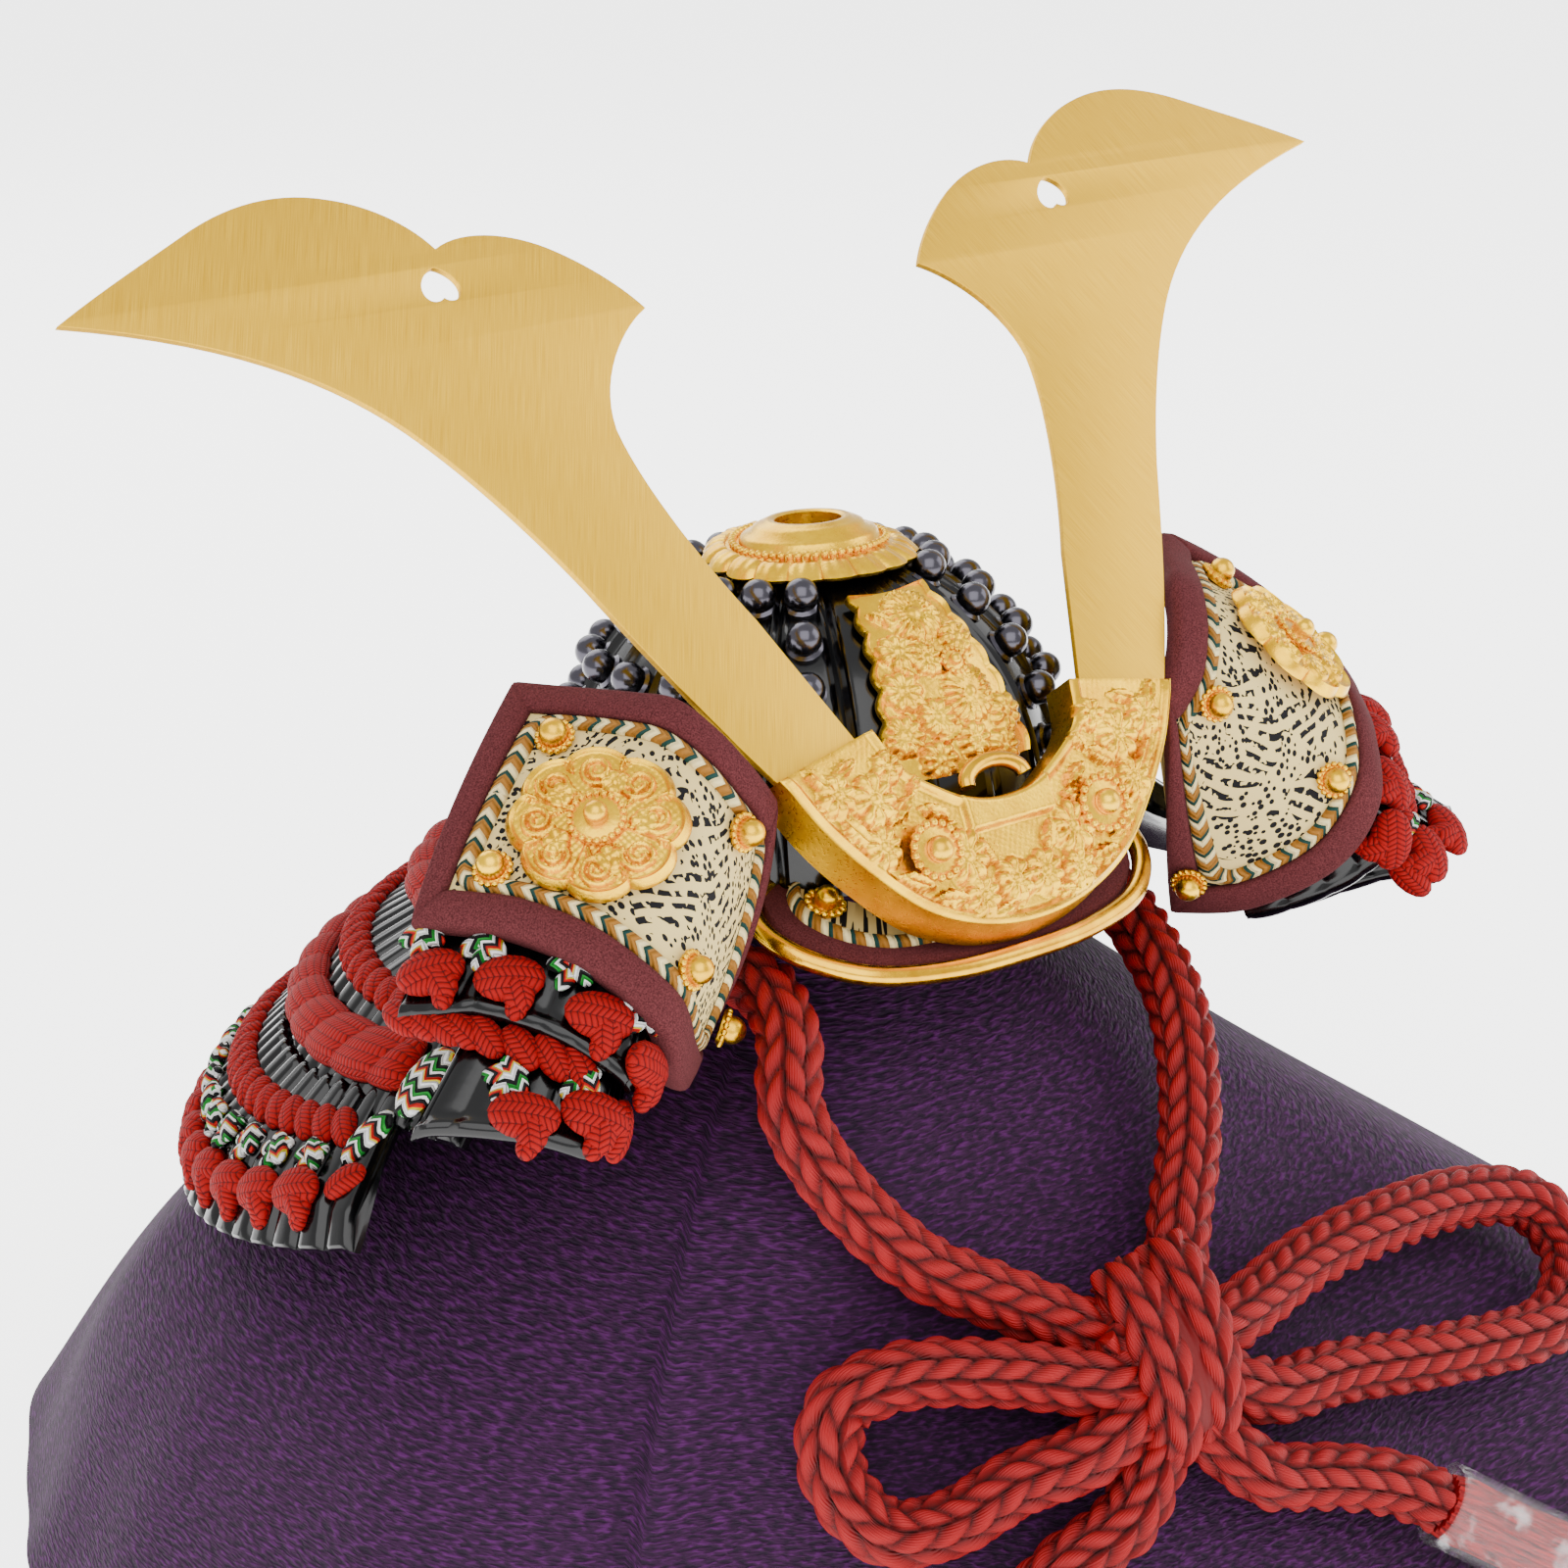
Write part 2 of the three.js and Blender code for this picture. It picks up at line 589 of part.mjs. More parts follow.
const MEDALLION_AT = { s: 0.64, t: 0.55 };
const FLAP_STUDS = [
  { name: 'upper_back', s: 0.84, t: 0.24, height: GAP },
  { name: 'lower_back', s: 0.83, t: 0.79, height: GAP },
  { name: 'upper_front', s: 0.27, t: 0.22, height: GAP },
  { name: 'lower_middle', s: 0.4, t: 0.78, height: GAP },
  { name: 'lower_front', s: 0.06, t: 0.8, height: FLAP_BINDING.low + FLAP_BINDING.height + GAP + 0.15 },
];

for (const [side, sign] of [['left', -1], ['right', 1]]) {
  const sided = (geometry) => (sign < 0 ? mirrored(geometry) : geometry);
  piece(`flap_board_${side}`, sided(flapSheet(BOARD_EDGES, -FLAP.thickness, 0)), printedLeather, helmet);
  piece(`flap_border_${side}`, sided(flapBorder()), brownLeather, helmet);
  const plaque = piece(`flap_medallion_${side}`, medallion(), castGold, helmet);
  onFlap(plaque, MEDALLION_AT.s, MEDALLION_AT.t, GAP, sign);
  const boss = turned([[0, 0], [4.2, 0], [4.2, 0.8], [2.6, 1.4], [2, 2.6], [0, 3.2]], 10);
  const bossMesh = piece(`medallion_boss_${side}`, boss, castGold, helmet);
  onFlap(bossMesh, MEDALLION_AT.s, MEDALLION_AT.t, 2 * GAP + MEDALLION.thickness, sign);
  for (const { name, s, t, height } of FLAP_STUDS) {
    const mesh = piece(`flap_stud_${name}_${side}`, stud(STUD.collar, STUD.ball, STUD.sides), castGold, helmet);
    onFlap(mesh, s, t, height, sign);
  }
}

// ---------------------------------------------------------------- neck guard

/** A point on the neck guard's round, measured in degrees from the face towards +X. */
function guardPoint(azimuth, radius, z) {
  const angle = radians(azimuth);
  return v3(radius * Math.sin(angle), BOWL.centreY - radius * Math.cos(angle), z);
}

/**
 * A ring-shaped board round the back, from `front.right` to `front.left` degrees off the face, through
 * rows of radius and height.  `trim` draws its lowest row in towards the row above near both ends.
 */
function guardBand(front, profile, thickness, trim = 0, columns = 18) {
  const last = profile.length - 1;
  const rings = [];
  for (let i = 0; i <= columns; i += 1) {
    const azimuth = THREE.MathUtils.lerp(front.right, 360 - front.left, i / columns);
    const offBack = Math.abs(azimuth - 180);
    const pull = trim * THREE.MathUtils.smoothstep(offBack, 40, 92);
    const rows = profile.map((row) => ({ ...row }));
    rows[last].radius = THREE.MathUtils.lerp(profile[last].radius, profile[last - 1].radius, pull);
    rows[last].z = THREE.MathUtils.lerp(profile[last].z, profile[last - 1].z, pull);
    const outer = rows.map(({ radius, z }) => guardPoint(azimuth, radius, z));
    const inner = rows.map(({ radius, z }, k) => {
      const before = rows[Math.max(k - 1, 0)];
      const after = rows[Math.min(k + 1, last)];
      const run = new THREE.Vector2(after.radius - before.radius, after.z - before.z).normalize();
      return guardPoint(azimuth, radius + run.y * thickness, z - run.x * thickness);
    });
    rings.push([...outer, ...inner.reverse()]);
  }
  return loft(rings);
}

const LAME_TOP = [{ radius: 41, z: -43 }, { radius: 52, z: -47.5 }, { radius: 61, z: -54.5 }];
const LAME_MIDDLE = [{ radius: 60.5, z: -57.4 }, { radius: 74, z: -64 }, { radius: 84.5, z: -75 }];
const LAME_BOTTOM = [{ radius: 86, z: -75.5 }, { radius: 96.5, z: -84 }, { radius: 103.5, z: -98 }];
const LACING_UPPER = [{ radius: 59, z: -49.4 }, { radius: 67.3, z: -54.9 }];
const LACING_MIDDLE = [{ radius: 79.5, z: -63.2 }, { radius: 88.3, z: -71.8 }];
const LACING_LOWER = [{ radius: 102, z: -84.6 }, { radius: 105.2, z: -92.6 }];

const evenFront = (angle) => ({ right: angle, left: angle });

piece('guard_lame_top', guardBand(evenFront(58), LAME_TOP, LAME_THICKNESS), blackLacquer, helmet);
piece('guard_lame_middle', guardBand(evenFront(75), LAME_MIDDLE, LAME_THICKNESS), blackLacquer, helmet);
const bottomBand = guardBand({ right: 112, left: 85 }, LAME_BOTTOM, LAME_THICKNESS, 0.45);
piece('guard_lame_bottom', bottomBand, blackLacquer, helmet);
piece('guard_lacing_upper', guardBand(evenFront(95), LACING_UPPER, 2), redLacing, helmet);
piece('guard_lacing_middle', guardBand({ right: 124, left: 88 }, LACING_MIDDLE, 2.6), redLacing, helmet);
piece('guard_lacing_lower', guardBand({ right: 116, left: 89 }, LACING_LOWER, 1.6, 0.4), redLacing, helmet);

// Edges of the boards that turn back under the flap, and of the knotted lacing on them, on the flap's skin.
const EAR_UPPER = [
  { s: 0.12, from: 0.82, to: 1.1 },
  { s: 0.34, from: 0.82, to: 1.13 },
  { s: 0.55, from: 0.82, to: 1.28 },
  { s: 0.97, from: 0.82, to: 1.31 },
];
const EAR_LOWER = [
  { s: 0.14, from: 0.93, to: 1.15 },
  { s: 0.3, from: 0.95, to: 1.2 },
  { s: 0.48, from: 1.02, to: 1.45 },
  { s: 0.74, from: 1.04, to: 1.68 },
];
const EAR_UPPER_KNOTS = [
  { s: 0.3, from: 1.03, to: 1.1 },
  { s: 0.5, from: 1.05, to: 1.2 },
  { s: 0.93, from: 1.07, to: 1.24 },
];
const EAR_LOWER_KNOTS = [
  { s: 0.32, from: 1.13, to: 1.18 },
  { s: 0.48, from: 1.26, to: 1.4 },
  { s: 0.7, from: 1.4, to: 1.58 },
];

for (const [side, sign] of [['left', -1], ['right', 1]]) {
  const sided = (geometry) => (sign < 0 ? mirrored(geometry) : geometry);
  piece(`ear_board_upper_${side}`, sided(flapSheet(EAR_UPPER, ...EAR.upperBoard, 10, 2)), blackLacquer, helmet);
  piece(`ear_board_lower_${side}`, sided(flapSheet(EAR_LOWER, ...EAR.lowerBoard, 8, 2)), blackLacquer, helmet);
  piece(`ear_lacing_upper_${side}`, sided(flapSheet(EAR_UPPER_KNOTS, ...EAR.upperLacing, 9, 1)), redLacing, helmet);
  piece(`ear_lacing_lower_${side}`, sided(flapSheet(EAR_LOWER_KNOTS, ...EAR.lowerLacing, 7, 1)), redLacing, helmet);
}

// ---------------------------------------------------------------- stand and cloth

// How far the cloth reaches from the helmet's axis, at four levels, round the stand.
const CLOTH_FOLDS = [
  { azimuth: -145, neck: 30, shoulder: 65, skirt: 104, hem: 138 },
  { azimuth: -115, neck: 30, shoulder: 68, skirt: 109, hem: 131 },
  { azimuth: -75, neck: 30, shoulder: 66, skirt: 103, hem: 122 },
  { azimuth: -37, neck: 34, shoulder: 68, skirt: 88, hem: 104 },
  { azimuth: -5, neck: 32, shoulder: 59, skirt: 89, hem: 127 },
  { azimuth: 25, neck: 32, shoulder: 61, skirt: 94, hem: 140 },
  { azimuth: 55, neck: 30, shoulder: 61, skirt: 119, hem: 190 },
  { azimuth: 90, neck: 30, shoulder: 60, skirt: 103, hem: 160 },
  { azimuth: 140, neck: 30, shoulder: 63, skirt: 104, hem: 150 },
  { azimuth: 180, neck: 30, shoulder: 64, skirt: 104, hem: 140 },
];

/** The cloth's reach at one level, eased from fold to fold. */
function clothReach(azimuth, level) {
  const rows = CLOTH_FOLDS;
  const turn = (angle) => THREE.MathUtils.euclideanModulo(angle, 360);
  const from = rows[0].azimuth;
  const place = turn(azimuth - from);
  let i = 0;
  while (i < rows.length - 1 && turn(rows[i + 1].azimuth - from) <= place) {
    i += 1;
  }
  const here = turn(rows[i].azimuth - from);
  const next = i === rows.length - 1 ? 360 : turn(rows[i + 1].azimuth - from);
  const ease = (1 - Math.cos((Math.PI * (place - here)) / (next - here))) / 2;
  return THREE.MathUtils.lerp(rows[i][level], rows[(i + 1) % rows.length][level], ease);
}

function standCloth() {
  const around = 40;
  const outer = [];
  const inner = [];
  const levels = [
    { z: -9, reach: () => 5 },
    { z: -13, reach: () => 13.5 },
    { z: -40, reach: () => 25 },
    { z: -60, reach: (azimuth) => clothReach(azimuth, 'neck') },
    { z: -85, reach: (azimuth) => clothReach(azimuth, 'shoulder') },
    { z: -120, reach: (azimuth) => clothReach(azimuth, 'skirt') },
    { z: -CROWN_HEIGHT, reach: (azimuth) => clothReach(azimuth, 'hem') },
  ];
  levels.forEach(({ z, reach }, k) => {
    const before = levels[Math.max(k - 1, 0)];
    const after = levels[Math.min(k + 1, levels.length - 1)];
    const ringOut = [];
    const ringIn = [];
    for (let i = 0; i < around; i += 1) {
      const azimuth = (i * 360) / around - 180;
      const angle = radians(azimuth);
      const radius = reach(azimuth);
      const run = new THREE.Vector2(after.reach(azimuth) - before.reach(azimuth), after.z - before.z).normalize();
      const point = (r, height) => v3(r * Math.sin(angle), -r * Math.cos(angle), height);
      ringOut.push(point(radius, z));
      if (k === levels.length - 1) {
        ringIn.push(point(radius + (CLOTH_WALL / run.y), z));
      } else {
        ringIn.push(point(radius + run.y * CLOTH_WALL, z - run.x * CLOTH_WALL));
      }
    }
    outer.push(ringOut);
    inner.unshift(ringIn);
  });
  return loft([...outer, ...inner]);
}

function standPost() {
  const floor = -CROWN_HEIGHT;
  const { headRadius, postRadius, discRadius, discHeight } = STAND;
  const head = [[0, -11.4], [5, -11.8], [9.5, -15], [headRadius, -20], [headRadius, -26], [postRadius, -32]];
  const foot = [[postRadius, floor + discHeight], [discRadius, floor + discHeight], [discRadius, floor], [0, floor]];
  return turned([...head, ...foot], 16);
}

piece('stand_post', standPost(), plainWood, display);
piece('stand_cloth', standCloth(), purpleCrepe, display);

// ---------------------------------------------------------------- cord

const path = (rows) => rows.map(([x, y, z]) => v3(x, y, z));

// From the knot up the left side, round behind the stand's neck and down the right side.
const CORD_NECK = path([
  [-20.5, -77, -95.6], [-26, -73.8, -92.6], [-32, -70, -89], [-39.4, -62, -79.6], [-42.6, -53, -68.5],
  [-37.6, -45, -60], [-34.6, -33, -57], [-39.4, -19, -58], [-47, 2, -64], [-42, 24, -66], [-26, 42, -67],
  [0, 49, -67], [26, 42, -67], [42, 24, -66], [47, 2, -64], [45.5, -16, -63], [41, -32, -66], [34, -50, -72],
  [27, -61, -79], [20.5, -68.5, -86], [13.5, -74.5, -91.5],
]);
const CORD_LOOP_LEFT = path([
  [-15, -89.3, -104.6], [-29, -82.5, -101.4], [-42, -76.8, -100.2], [-50.5, -74, -103.5], [-53.5, -77, -111.5],
  [-49.5, -83.5, -119], [-41, -87.5, -119], [-31, -90, -115], [-20.5, -93.2, -112.6],
]);
const CORD_LOOP_RIGHT = path([
  [11, -88.5, -103.7], [19, -86.5, -103.5], [30, -83.5, -103], [49, -81, -103.4], [73, -78.5, -107],
  [86, -80.5, -111.5],
  [88, -87, -118], [77, -95, -122.5], [53, -96, -120], [27, -94.5, -115.5], [14, -95.5, -113.5],
]);
const CORD_TAIL_LEFT = path([
  [-15.6, -97.6, -121.5], [-20, -97.6, -124], [-26, -96.6, -126.5], [-33.5, -97, -130.5], [-39, -99.5, -135.5],
  [-42, -103.5, -141.5], [-44.5, -110, -147], [-46, -118, -150],
]);
const CORD_TAIL_RIGHT = path([
  [7, -101.5, -122], [13, -102.4, -124.2], [19, -104, -125.6], [28.5, -107, -129], [34.5, -110, -132.5],
]);

piece('cord_neck_run', tube(CORD_NECK, CORD_RADIUS, 26, 8), redCord, display);
piece('cord_loop_left', tube(CORD_LOOP_LEFT, CORD_RADIUS, 12, 8), redCord, display);
piece('cord_loop_right', tube(CORD_LOOP_RIGHT, CORD_RADIUS, 15, 8), redCord, display);
piece('cord_tail_left', tube(CORD_TAIL_LEFT, CORD_RADIUS, 8, 8), redCord, display);
piece('cord_tail_right', tube(CORD_TAIL_RIGHT, CORD_RADIUS, 5, 8), redCord, display);

/** The bow's knot: a fat rounded block that the five strands run into. */
function cordKnot() {
  const body = new THREE.SphereGeometry(1, 8, 6).scale(11.5, 9, 14).rotateX(-0.75);
  return body.translate(-2.5, -88.5, -104.5);
}

const strands = [CORD_NECK, CORD_LOOP_LEFT, CORD_LOOP_RIGHT, CORD_TAIL_LEFT, CORD_TAIL_RIGHT];
const strandRoom = [
  tube(CORD_NECK.slice(0, 3), CORD_RADIUS + GAP, 4, 8),
  tube(CORD_NECK.slice(-3), CORD_RADIUS + GAP, 4, 8),
  ...strands.slice(1, 3).flatMap((strand) => [
    tube(strand.slice(0, 3), CORD_RADIUS + GAP, 4, 8),
    tube(strand.slice(-3), CORD_RADIUS + GAP, 4, 8),
  ]),
  ...strands.slice(3).map((strand) => tube(strand.slice(0, 3), CORD_RADIUS + GAP, 4, 8)),
];
piece('cord_knot', cut(cordKnot(), ...strandRoom), redCord, display);

/** A tassel in its clear sleeve, hanging along `down` from the end of a tail. */
function tasselPair(name, end, down) {
  const turn = new THREE.Quaternion().setFromUnitVectors(v3(0, 0, -1), v3(...down).normalize());
  const start = end.clone().addScaledVector(v3(...down).normalize(), 3 * GAP);
  const { radius, length, sleeveInner, sleeveOuter, sleeveLength } = TASSEL;
  const fringe = turned([[0, 0], [4.4, 0], [5, -3], [radius, -length], [0, -length]], 10);
  const sleeve = turned([[sleeveInner, 0], [sleeveOuter, 0], [sleeveOuter, -sleeveLength],
    [sleeveInner, -sleeveLength], [sleeveInner, 0]], 10);
  const fringeMesh = piece(`cord_tassel_${name}`, fringe, redCord, display);
  fringeMesh.quaternion.copy(turn);
  fringeMesh.position.copy(start);
  const sleeveMesh = piece(`tassel_sleeve_${name}`, sleeve, clearPlastic, display);
  sleeveMesh.quaternion.copy(turn);
  sleeveMesh.position.copy(start);
}

tasselPair('right', CORD_TAIL_RIGHT.at(-1), [0.72, -0.5, -0.48]);
tasselPair('left', CORD_TAIL_LEFT.at(-1), [-0.14, -0.97, -0.2]);

export default object;
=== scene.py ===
# %% [markdown]
# # A small kabuto on its cloth-covered stand
# This lesson dresses a plain solid model of a festival helmet: gilt horns, lacquered scales, printed
# leather, a braided silk cord and a crepe cloth.  The solid model is loaded first and never moved.
# Every new piece is worked out in the same millimetres as the solids and lands where they are.

import math

import bmesh
import bpy
import numpy as np
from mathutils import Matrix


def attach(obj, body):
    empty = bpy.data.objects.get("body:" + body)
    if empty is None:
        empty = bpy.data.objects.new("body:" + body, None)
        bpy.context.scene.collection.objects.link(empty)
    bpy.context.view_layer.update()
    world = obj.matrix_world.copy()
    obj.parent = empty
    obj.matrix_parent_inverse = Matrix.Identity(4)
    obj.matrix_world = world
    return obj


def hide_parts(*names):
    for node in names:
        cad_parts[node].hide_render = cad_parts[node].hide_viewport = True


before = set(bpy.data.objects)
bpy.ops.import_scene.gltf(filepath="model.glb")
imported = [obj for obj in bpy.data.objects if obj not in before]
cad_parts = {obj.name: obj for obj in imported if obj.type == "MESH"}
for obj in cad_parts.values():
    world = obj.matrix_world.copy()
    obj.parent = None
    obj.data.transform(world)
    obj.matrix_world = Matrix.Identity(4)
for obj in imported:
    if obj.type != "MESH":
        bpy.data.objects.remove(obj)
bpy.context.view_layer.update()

# %% [markdown]
# ## Places
# Two frames carry the pieces.  The *display* frame is level and has its origin at the mouth of the
# crown finial, above the floor.  The *helmet* frame has the same origin and leans back a little, as the
# helmet does on its stand.  The horns and the visor have flat frames of their own inside the helmet's.

# %% Frames of the helmet
MM = 0.001
AXIS = np.array([-20.4, -4.2, 165.0])  # the finial's mouth, in millimetres from the floor's origin
TILT = math.radians(6)
CREST_LEAN = math.radians(33.2)
VISOR_SLOPE = math.radians(26)
VISOR_FRONT = np.array([0.0, -48.4, -59.4])


def turn_x(points, angle):
    """Turns points about X: y' = y cos a - z sin a, z' = y sin a + z cos a."""
    points = np.asarray(points, float)
    x, y, z = points[..., 0], points[..., 1], points[..., 2]
    return np.stack([x, y * math.cos(angle) - z * math.sin(angle),
                     y * math.sin(angle) + z * math.cos(angle)], -1)


def display(points):
    """From the level display frame to the floor's frame, in millimetres."""
    return np.asarray(points, float) + AXIS


def helmet(points):
    """From the helmet frame: lean back, then as the display frame."""
    return display(turn_x(points, -TILT))


def crest(points):
    """From the plane of the horns: u across, v up the plate, height out of its face."""
    return helmet(turn_x(points, math.pi / 2 - CREST_LEAN))


def visor(points):
    """From the plane of the visor: across, up the slope, height above it."""
    return helmet(turn_x(points, VISOR_SLOPE) + VISOR_FRONT)


# %% [markdown]
# ## Surfaces from arrays
# Most pieces are one of two things.  A *skin* is a grid of points, a function of two parameters, whose
# touching edges are merged so that it closes.  A *swarm* is one small shape copied to many places, each
# with its own directions, as beads, scales and knots are.

# %% Making meshes
MERGE = 2e-6  # metres: points closer than this become one


def make_object(name, points, faces, material, uv=None, painted_shade=None, crease=38):
    """A mesh object from points in millimetres and equal-sided faces, turned outwards if it is closed."""
    mesh = bpy.data.meshes.new(name)
    mesh.from_pydata((np.asarray(points) * MM).tolist(), [], np.asarray(faces).tolist())
    corners = np.empty(len(mesh.loops), int)
    mesh.loops.foreach_get("vertex_index", corners)
    if uv is not None:
        layer = mesh.uv_layers.new(name="UVMap")
        layer.data.foreach_set("uv", np.asarray(uv, np.float32)[corners].ravel())
    # An optional colour attribute carries painted shade: how deep in shade each point lies, which the silk's
    # colour reads.
    if painted_shade is not None:
        colours = mesh.color_attributes.new("painted_shade", "FLOAT_COLOR", "POINT")
        rgba = np.concatenate([painted_shade, np.ones((len(painted_shade), 1))], 1)
        colours.data.foreach_set("color", rgba.astype(np.float32).ravel())
    work = bmesh.new()
    work.from_mesh(mesh)
    bmesh.ops.remove_doubles(work, verts=work.verts, dist=MERGE)
    if work.calc_volume(signed=True) < 0:
        bmesh.ops.reverse_faces(work, faces=work.faces)
    work.to_mesh(mesh)
    work.free()
    mesh.shade_smooth()
    mesh.set_sharp_from_angle(angle=math.radians(crease))
    piece = bpy.data.objects.new(name, mesh)
    bpy.context.scene.collection.objects.link(piece)
    mesh.materials.append(material)
    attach(piece, "root")
    return piece


def dress(piece, slot, *nodes):
    """Hides the plain solids that a piece stands in for, if any, and prints its face count.  Its slot is not
    used.
    """
    if nodes:
        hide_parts(*nodes)
    print(piece.name, "faces:", len(piece.data.polygons))
    return piece


def grid_faces(rows, columns):
    """The four corner numbers of every cell of a grid of rows times columns points."""
    first = (np.arange(rows - 1)[:, None] * columns + np.arange(columns - 1)[None, :]).ravel()
    return np.stack([first, first + 1, first + columns + 1, first + columns], 1)


def skin(name, points, material, uv=None, crease=38):
    """A surface through a grid of points, rows by columns by three; merged where its edges touch."""
    points = np.asarray(points, float)
    rows, columns = points.shape[:2]
    flat_uv = None if uv is None else np.asarray(uv, float).reshape(-1, 2)
    return make_object(name, points.reshape(-1, 3), grid_faces(rows, columns), material, flat_uv,
                       crease=crease)


def capped(rings):
    """Closes a grid of rings at both ends with a ring shrunk to the middle of the end one."""
    ends = [np.repeat(rings[k].mean(0, keepdims=True), rings.shape[1], 0)[None] for k in (0, -1)]
    return np.concatenate([ends[0], rings, ends[1]], 0)


def swarm(base, places, directions, sizes=None):
    """Copies of a base shape: point = place + directions (as columns) times the scaled base point."""
    points, faces = base[:2]
    count = len(places)
    scaled = points[None] if sizes is None else points[None] * np.asarray(sizes, float).reshape(count, 1, -1)
    scaled = np.broadcast_to(scaled, (count, *points.shape))
    moved = np.einsum("nij,npj->npi", directions, scaled) + np.asarray(places, float)[:, None]
    numbers = faces[None] + (np.arange(count) * len(points))[:, None, None]
    return moved.reshape(-1, 3), numbers.reshape(-1, faces.shape[1])


def ball(columns=12, rows=8, shape=(1.0, 1.0, 1.0)):
    """A ball: x = sin p cos q, y = sin p sin q, z = cos p, each times its half size in shape."""
    p = np.linspace(0, np.pi, rows + 1)[:, None]
    q = np.linspace(0, 2 * np.pi, columns + 1)[None, :]
    points = np.stack([np.sin(p) * np.cos(q), np.sin(p) * np.sin(q), np.cos(p) + 0 * q], -1)
    return points.reshape(-1, 3) * np.array(shape), grid_faces(rows + 1, columns + 1)


def turned(profile, columns=32):
    """A lathe shape about Z through [radius, height] rows."""
    profile = np.asarray(profile, float)
    q = np.linspace(0, 2 * np.pi, columns + 1)[None, :]
    r, z = profile[:, :1], profile[:, 1:]
    points = np.stack([r * np.cos(q), r * np.sin(q), z + 0 * q], -1)
    return points.reshape(-1, 3), grid_faces(len(profile), columns + 1)


def unit(vectors):
    """Vectors brought to length one."""
    return vectors / np.linalg.norm(vectors, axis=-1, keepdims=True)


def basis(along, out):
    """Directions as columns: along, across and out, made square to one another."""
    out = unit(np.asarray(out, float))
    along = np.asarray(along, float)
    along = unit(along - (along * out).sum(-1, keepdims=True) * out)
    return np.stack([along, np.cross(out, along), out], -1)


def hermite(t, start, slope_in, end, slope_out):
    """A cubic from start to end over t from 0 to 1, with its slopes there: the Hermite sum."""
    return ((2 * t**3 - 3 * t**2 + 1) * start + (t**3 - 2 * t**2 + t) * slope_in
            + (3 * t**2 - 2 * t**3) * end + (t**3 - t**2) * slope_out)


def run_along(points):
    """The distance from the first point to each one of a row."""
    return np.concatenate([[0], np.cumsum(np.linalg.norm(np.diff(points, axis=0), axis=1))])


def end_rows(grid):
    """Repeats the first and last row of uv or of painted shade, to match the ends that capped() adds."""
    return np.concatenate([grid[:1], grid, grid[-1:]], 0)


def smooth_path(points, count):
    """A Catmull-Rom curve with chord spacing to the power one half, as the solid cords follow."""
    points = np.asarray(points, float)
    before = 2 * points[0] - points[1]
    after = 2 * points[-1] - points[-2]
    full = np.vstack([before, points, after])
    gaps = np.sqrt(np.linalg.norm(np.diff(full, axis=0), axis=1))
    steps, made = 40, []
    for i in range(1, len(full) - 2):
        a, b, c, d = full[i - 1:i + 3]
        e, f, g = gaps[i - 1:i + 2]
        slope_in = ((b - a) / e - (c - a) / (e + f) + (c - b) / f) * f
        slope_out = ((c - b) / f - (d - b) / (f + g) + (d - c) / g) * f
        t = np.linspace(0, 1, steps, endpoint=False)[:, None]
        made.append(hermite(t, b, slope_in, c, slope_out))
    curve = np.vstack([*made, points[-1:]])
    lengths = run_along(curve)
    want = np.linspace(0, lengths[-1], count)
    return np.stack([np.interp(want, lengths, curve[:, k]) for k in range(3)], 1), lengths[-1]


def carried(path):
    """Tangent, side and up at each point of a path, turned along it with no twist."""
    tangent = unit(np.gradient(path, axis=0))
    side = np.empty_like(path)
    start = np.cross(tangent[0], [0.1, 0.2, 1.0])
    side[0] = start / np.linalg.norm(start)
    for i in range(1, len(path)):
        step = side[i - 1] - tangent[i] * (side[i - 1] @ tangent[i])
        side[i] = step / np.linalg.norm(step)
    return tangent, side, np.cross(tangent, side)


# %% [markdown]
# ## Finishes from nodes
# Each finish starts from what the real thing is.  Colours are written as the hex a paint chart would
# give and turned to linear by one function.  One small function adds a node, sets it and links it.

# %% Node helper and colours
def linear(hex_colour):
    """sRGB hex to linear: c / 12.92 below 0.04045, else ((c + 0.055) / 1.055) to the power 2.4."""
    channels = [int(hex_colour[i:i + 2], 16) / 255 for i in (1, 3, 5)]
    return [c / 12.92 if c <= 0.04045 else ((c + 0.055) / 1.055) ** 2.4 for c in channels] + [1.0]


def add(material, kind, inputs=None, **settings):
    """Adds one node; inputs are values or output sockets by name or number."""
    made = material.node_tree.nodes.new("ShaderNode" + kind)
    for name, value in settings.items():
        setattr(made, name, value)
    for name, value in (inputs or {}).items():
        if isinstance(value, bpy.types.NodeSocket):
            material.node_tree.links.new(value, made.inputs[name])
        else:
            made.inputs[name].default_value = value
    return made


def finish(name, colour, roughness, metallic=0.0, **sockets):
    """A material with its shader's own sockets set; returns the material and its shader."""
    material = bpy.data.materials.new(name)
    material.use_nodes = True
    shader = material.node_tree.nodes["Principled BSDF"]
    shader.inputs["Base Color"].default_value = linear(colour)
    shader.inputs["Roughness"].default_value = roughness
    shader.inputs["Metallic"].default_value = metallic
    for socket, value in sockets.items():
        shader.inputs[socket.replace("_", " ")].default_value = value
    return material, shader


def link(material, output, socket):
    """Joins an output socket to an input socket."""
    material.node_tree.links.new(output, socket)


def ramp(material, factor, *stops):
    """A colour ramp over a factor, from (place, hex) stops."""
    made = add(material, "ValToRGB", {"Fac": factor})
    elements = made.color_ramp.elements
    while len(elements) < len(stops):
        elements.new(0.5)
    for element, (place, colour) in zip(elements, stops):
        element.position = place
        element.color = linear(colour)
    return made.outputs["Color"]


def bumped(material, shader, height, depth_mm, strength=1.0):
    """Feeds a height from 0 to 1 to the shader's normal, as deep as depth_mm."""
    bump = add(material, "Bump", {"Height": height, "Distance": depth_mm * MM, "Strength": strength})
    link(material, bump.outputs["Normal"], shader.inputs["Normal"])


def object_place(material):
    """The point in metres, in the object's own frame."""
    return add(material, "TexCoord").outputs["Object"]


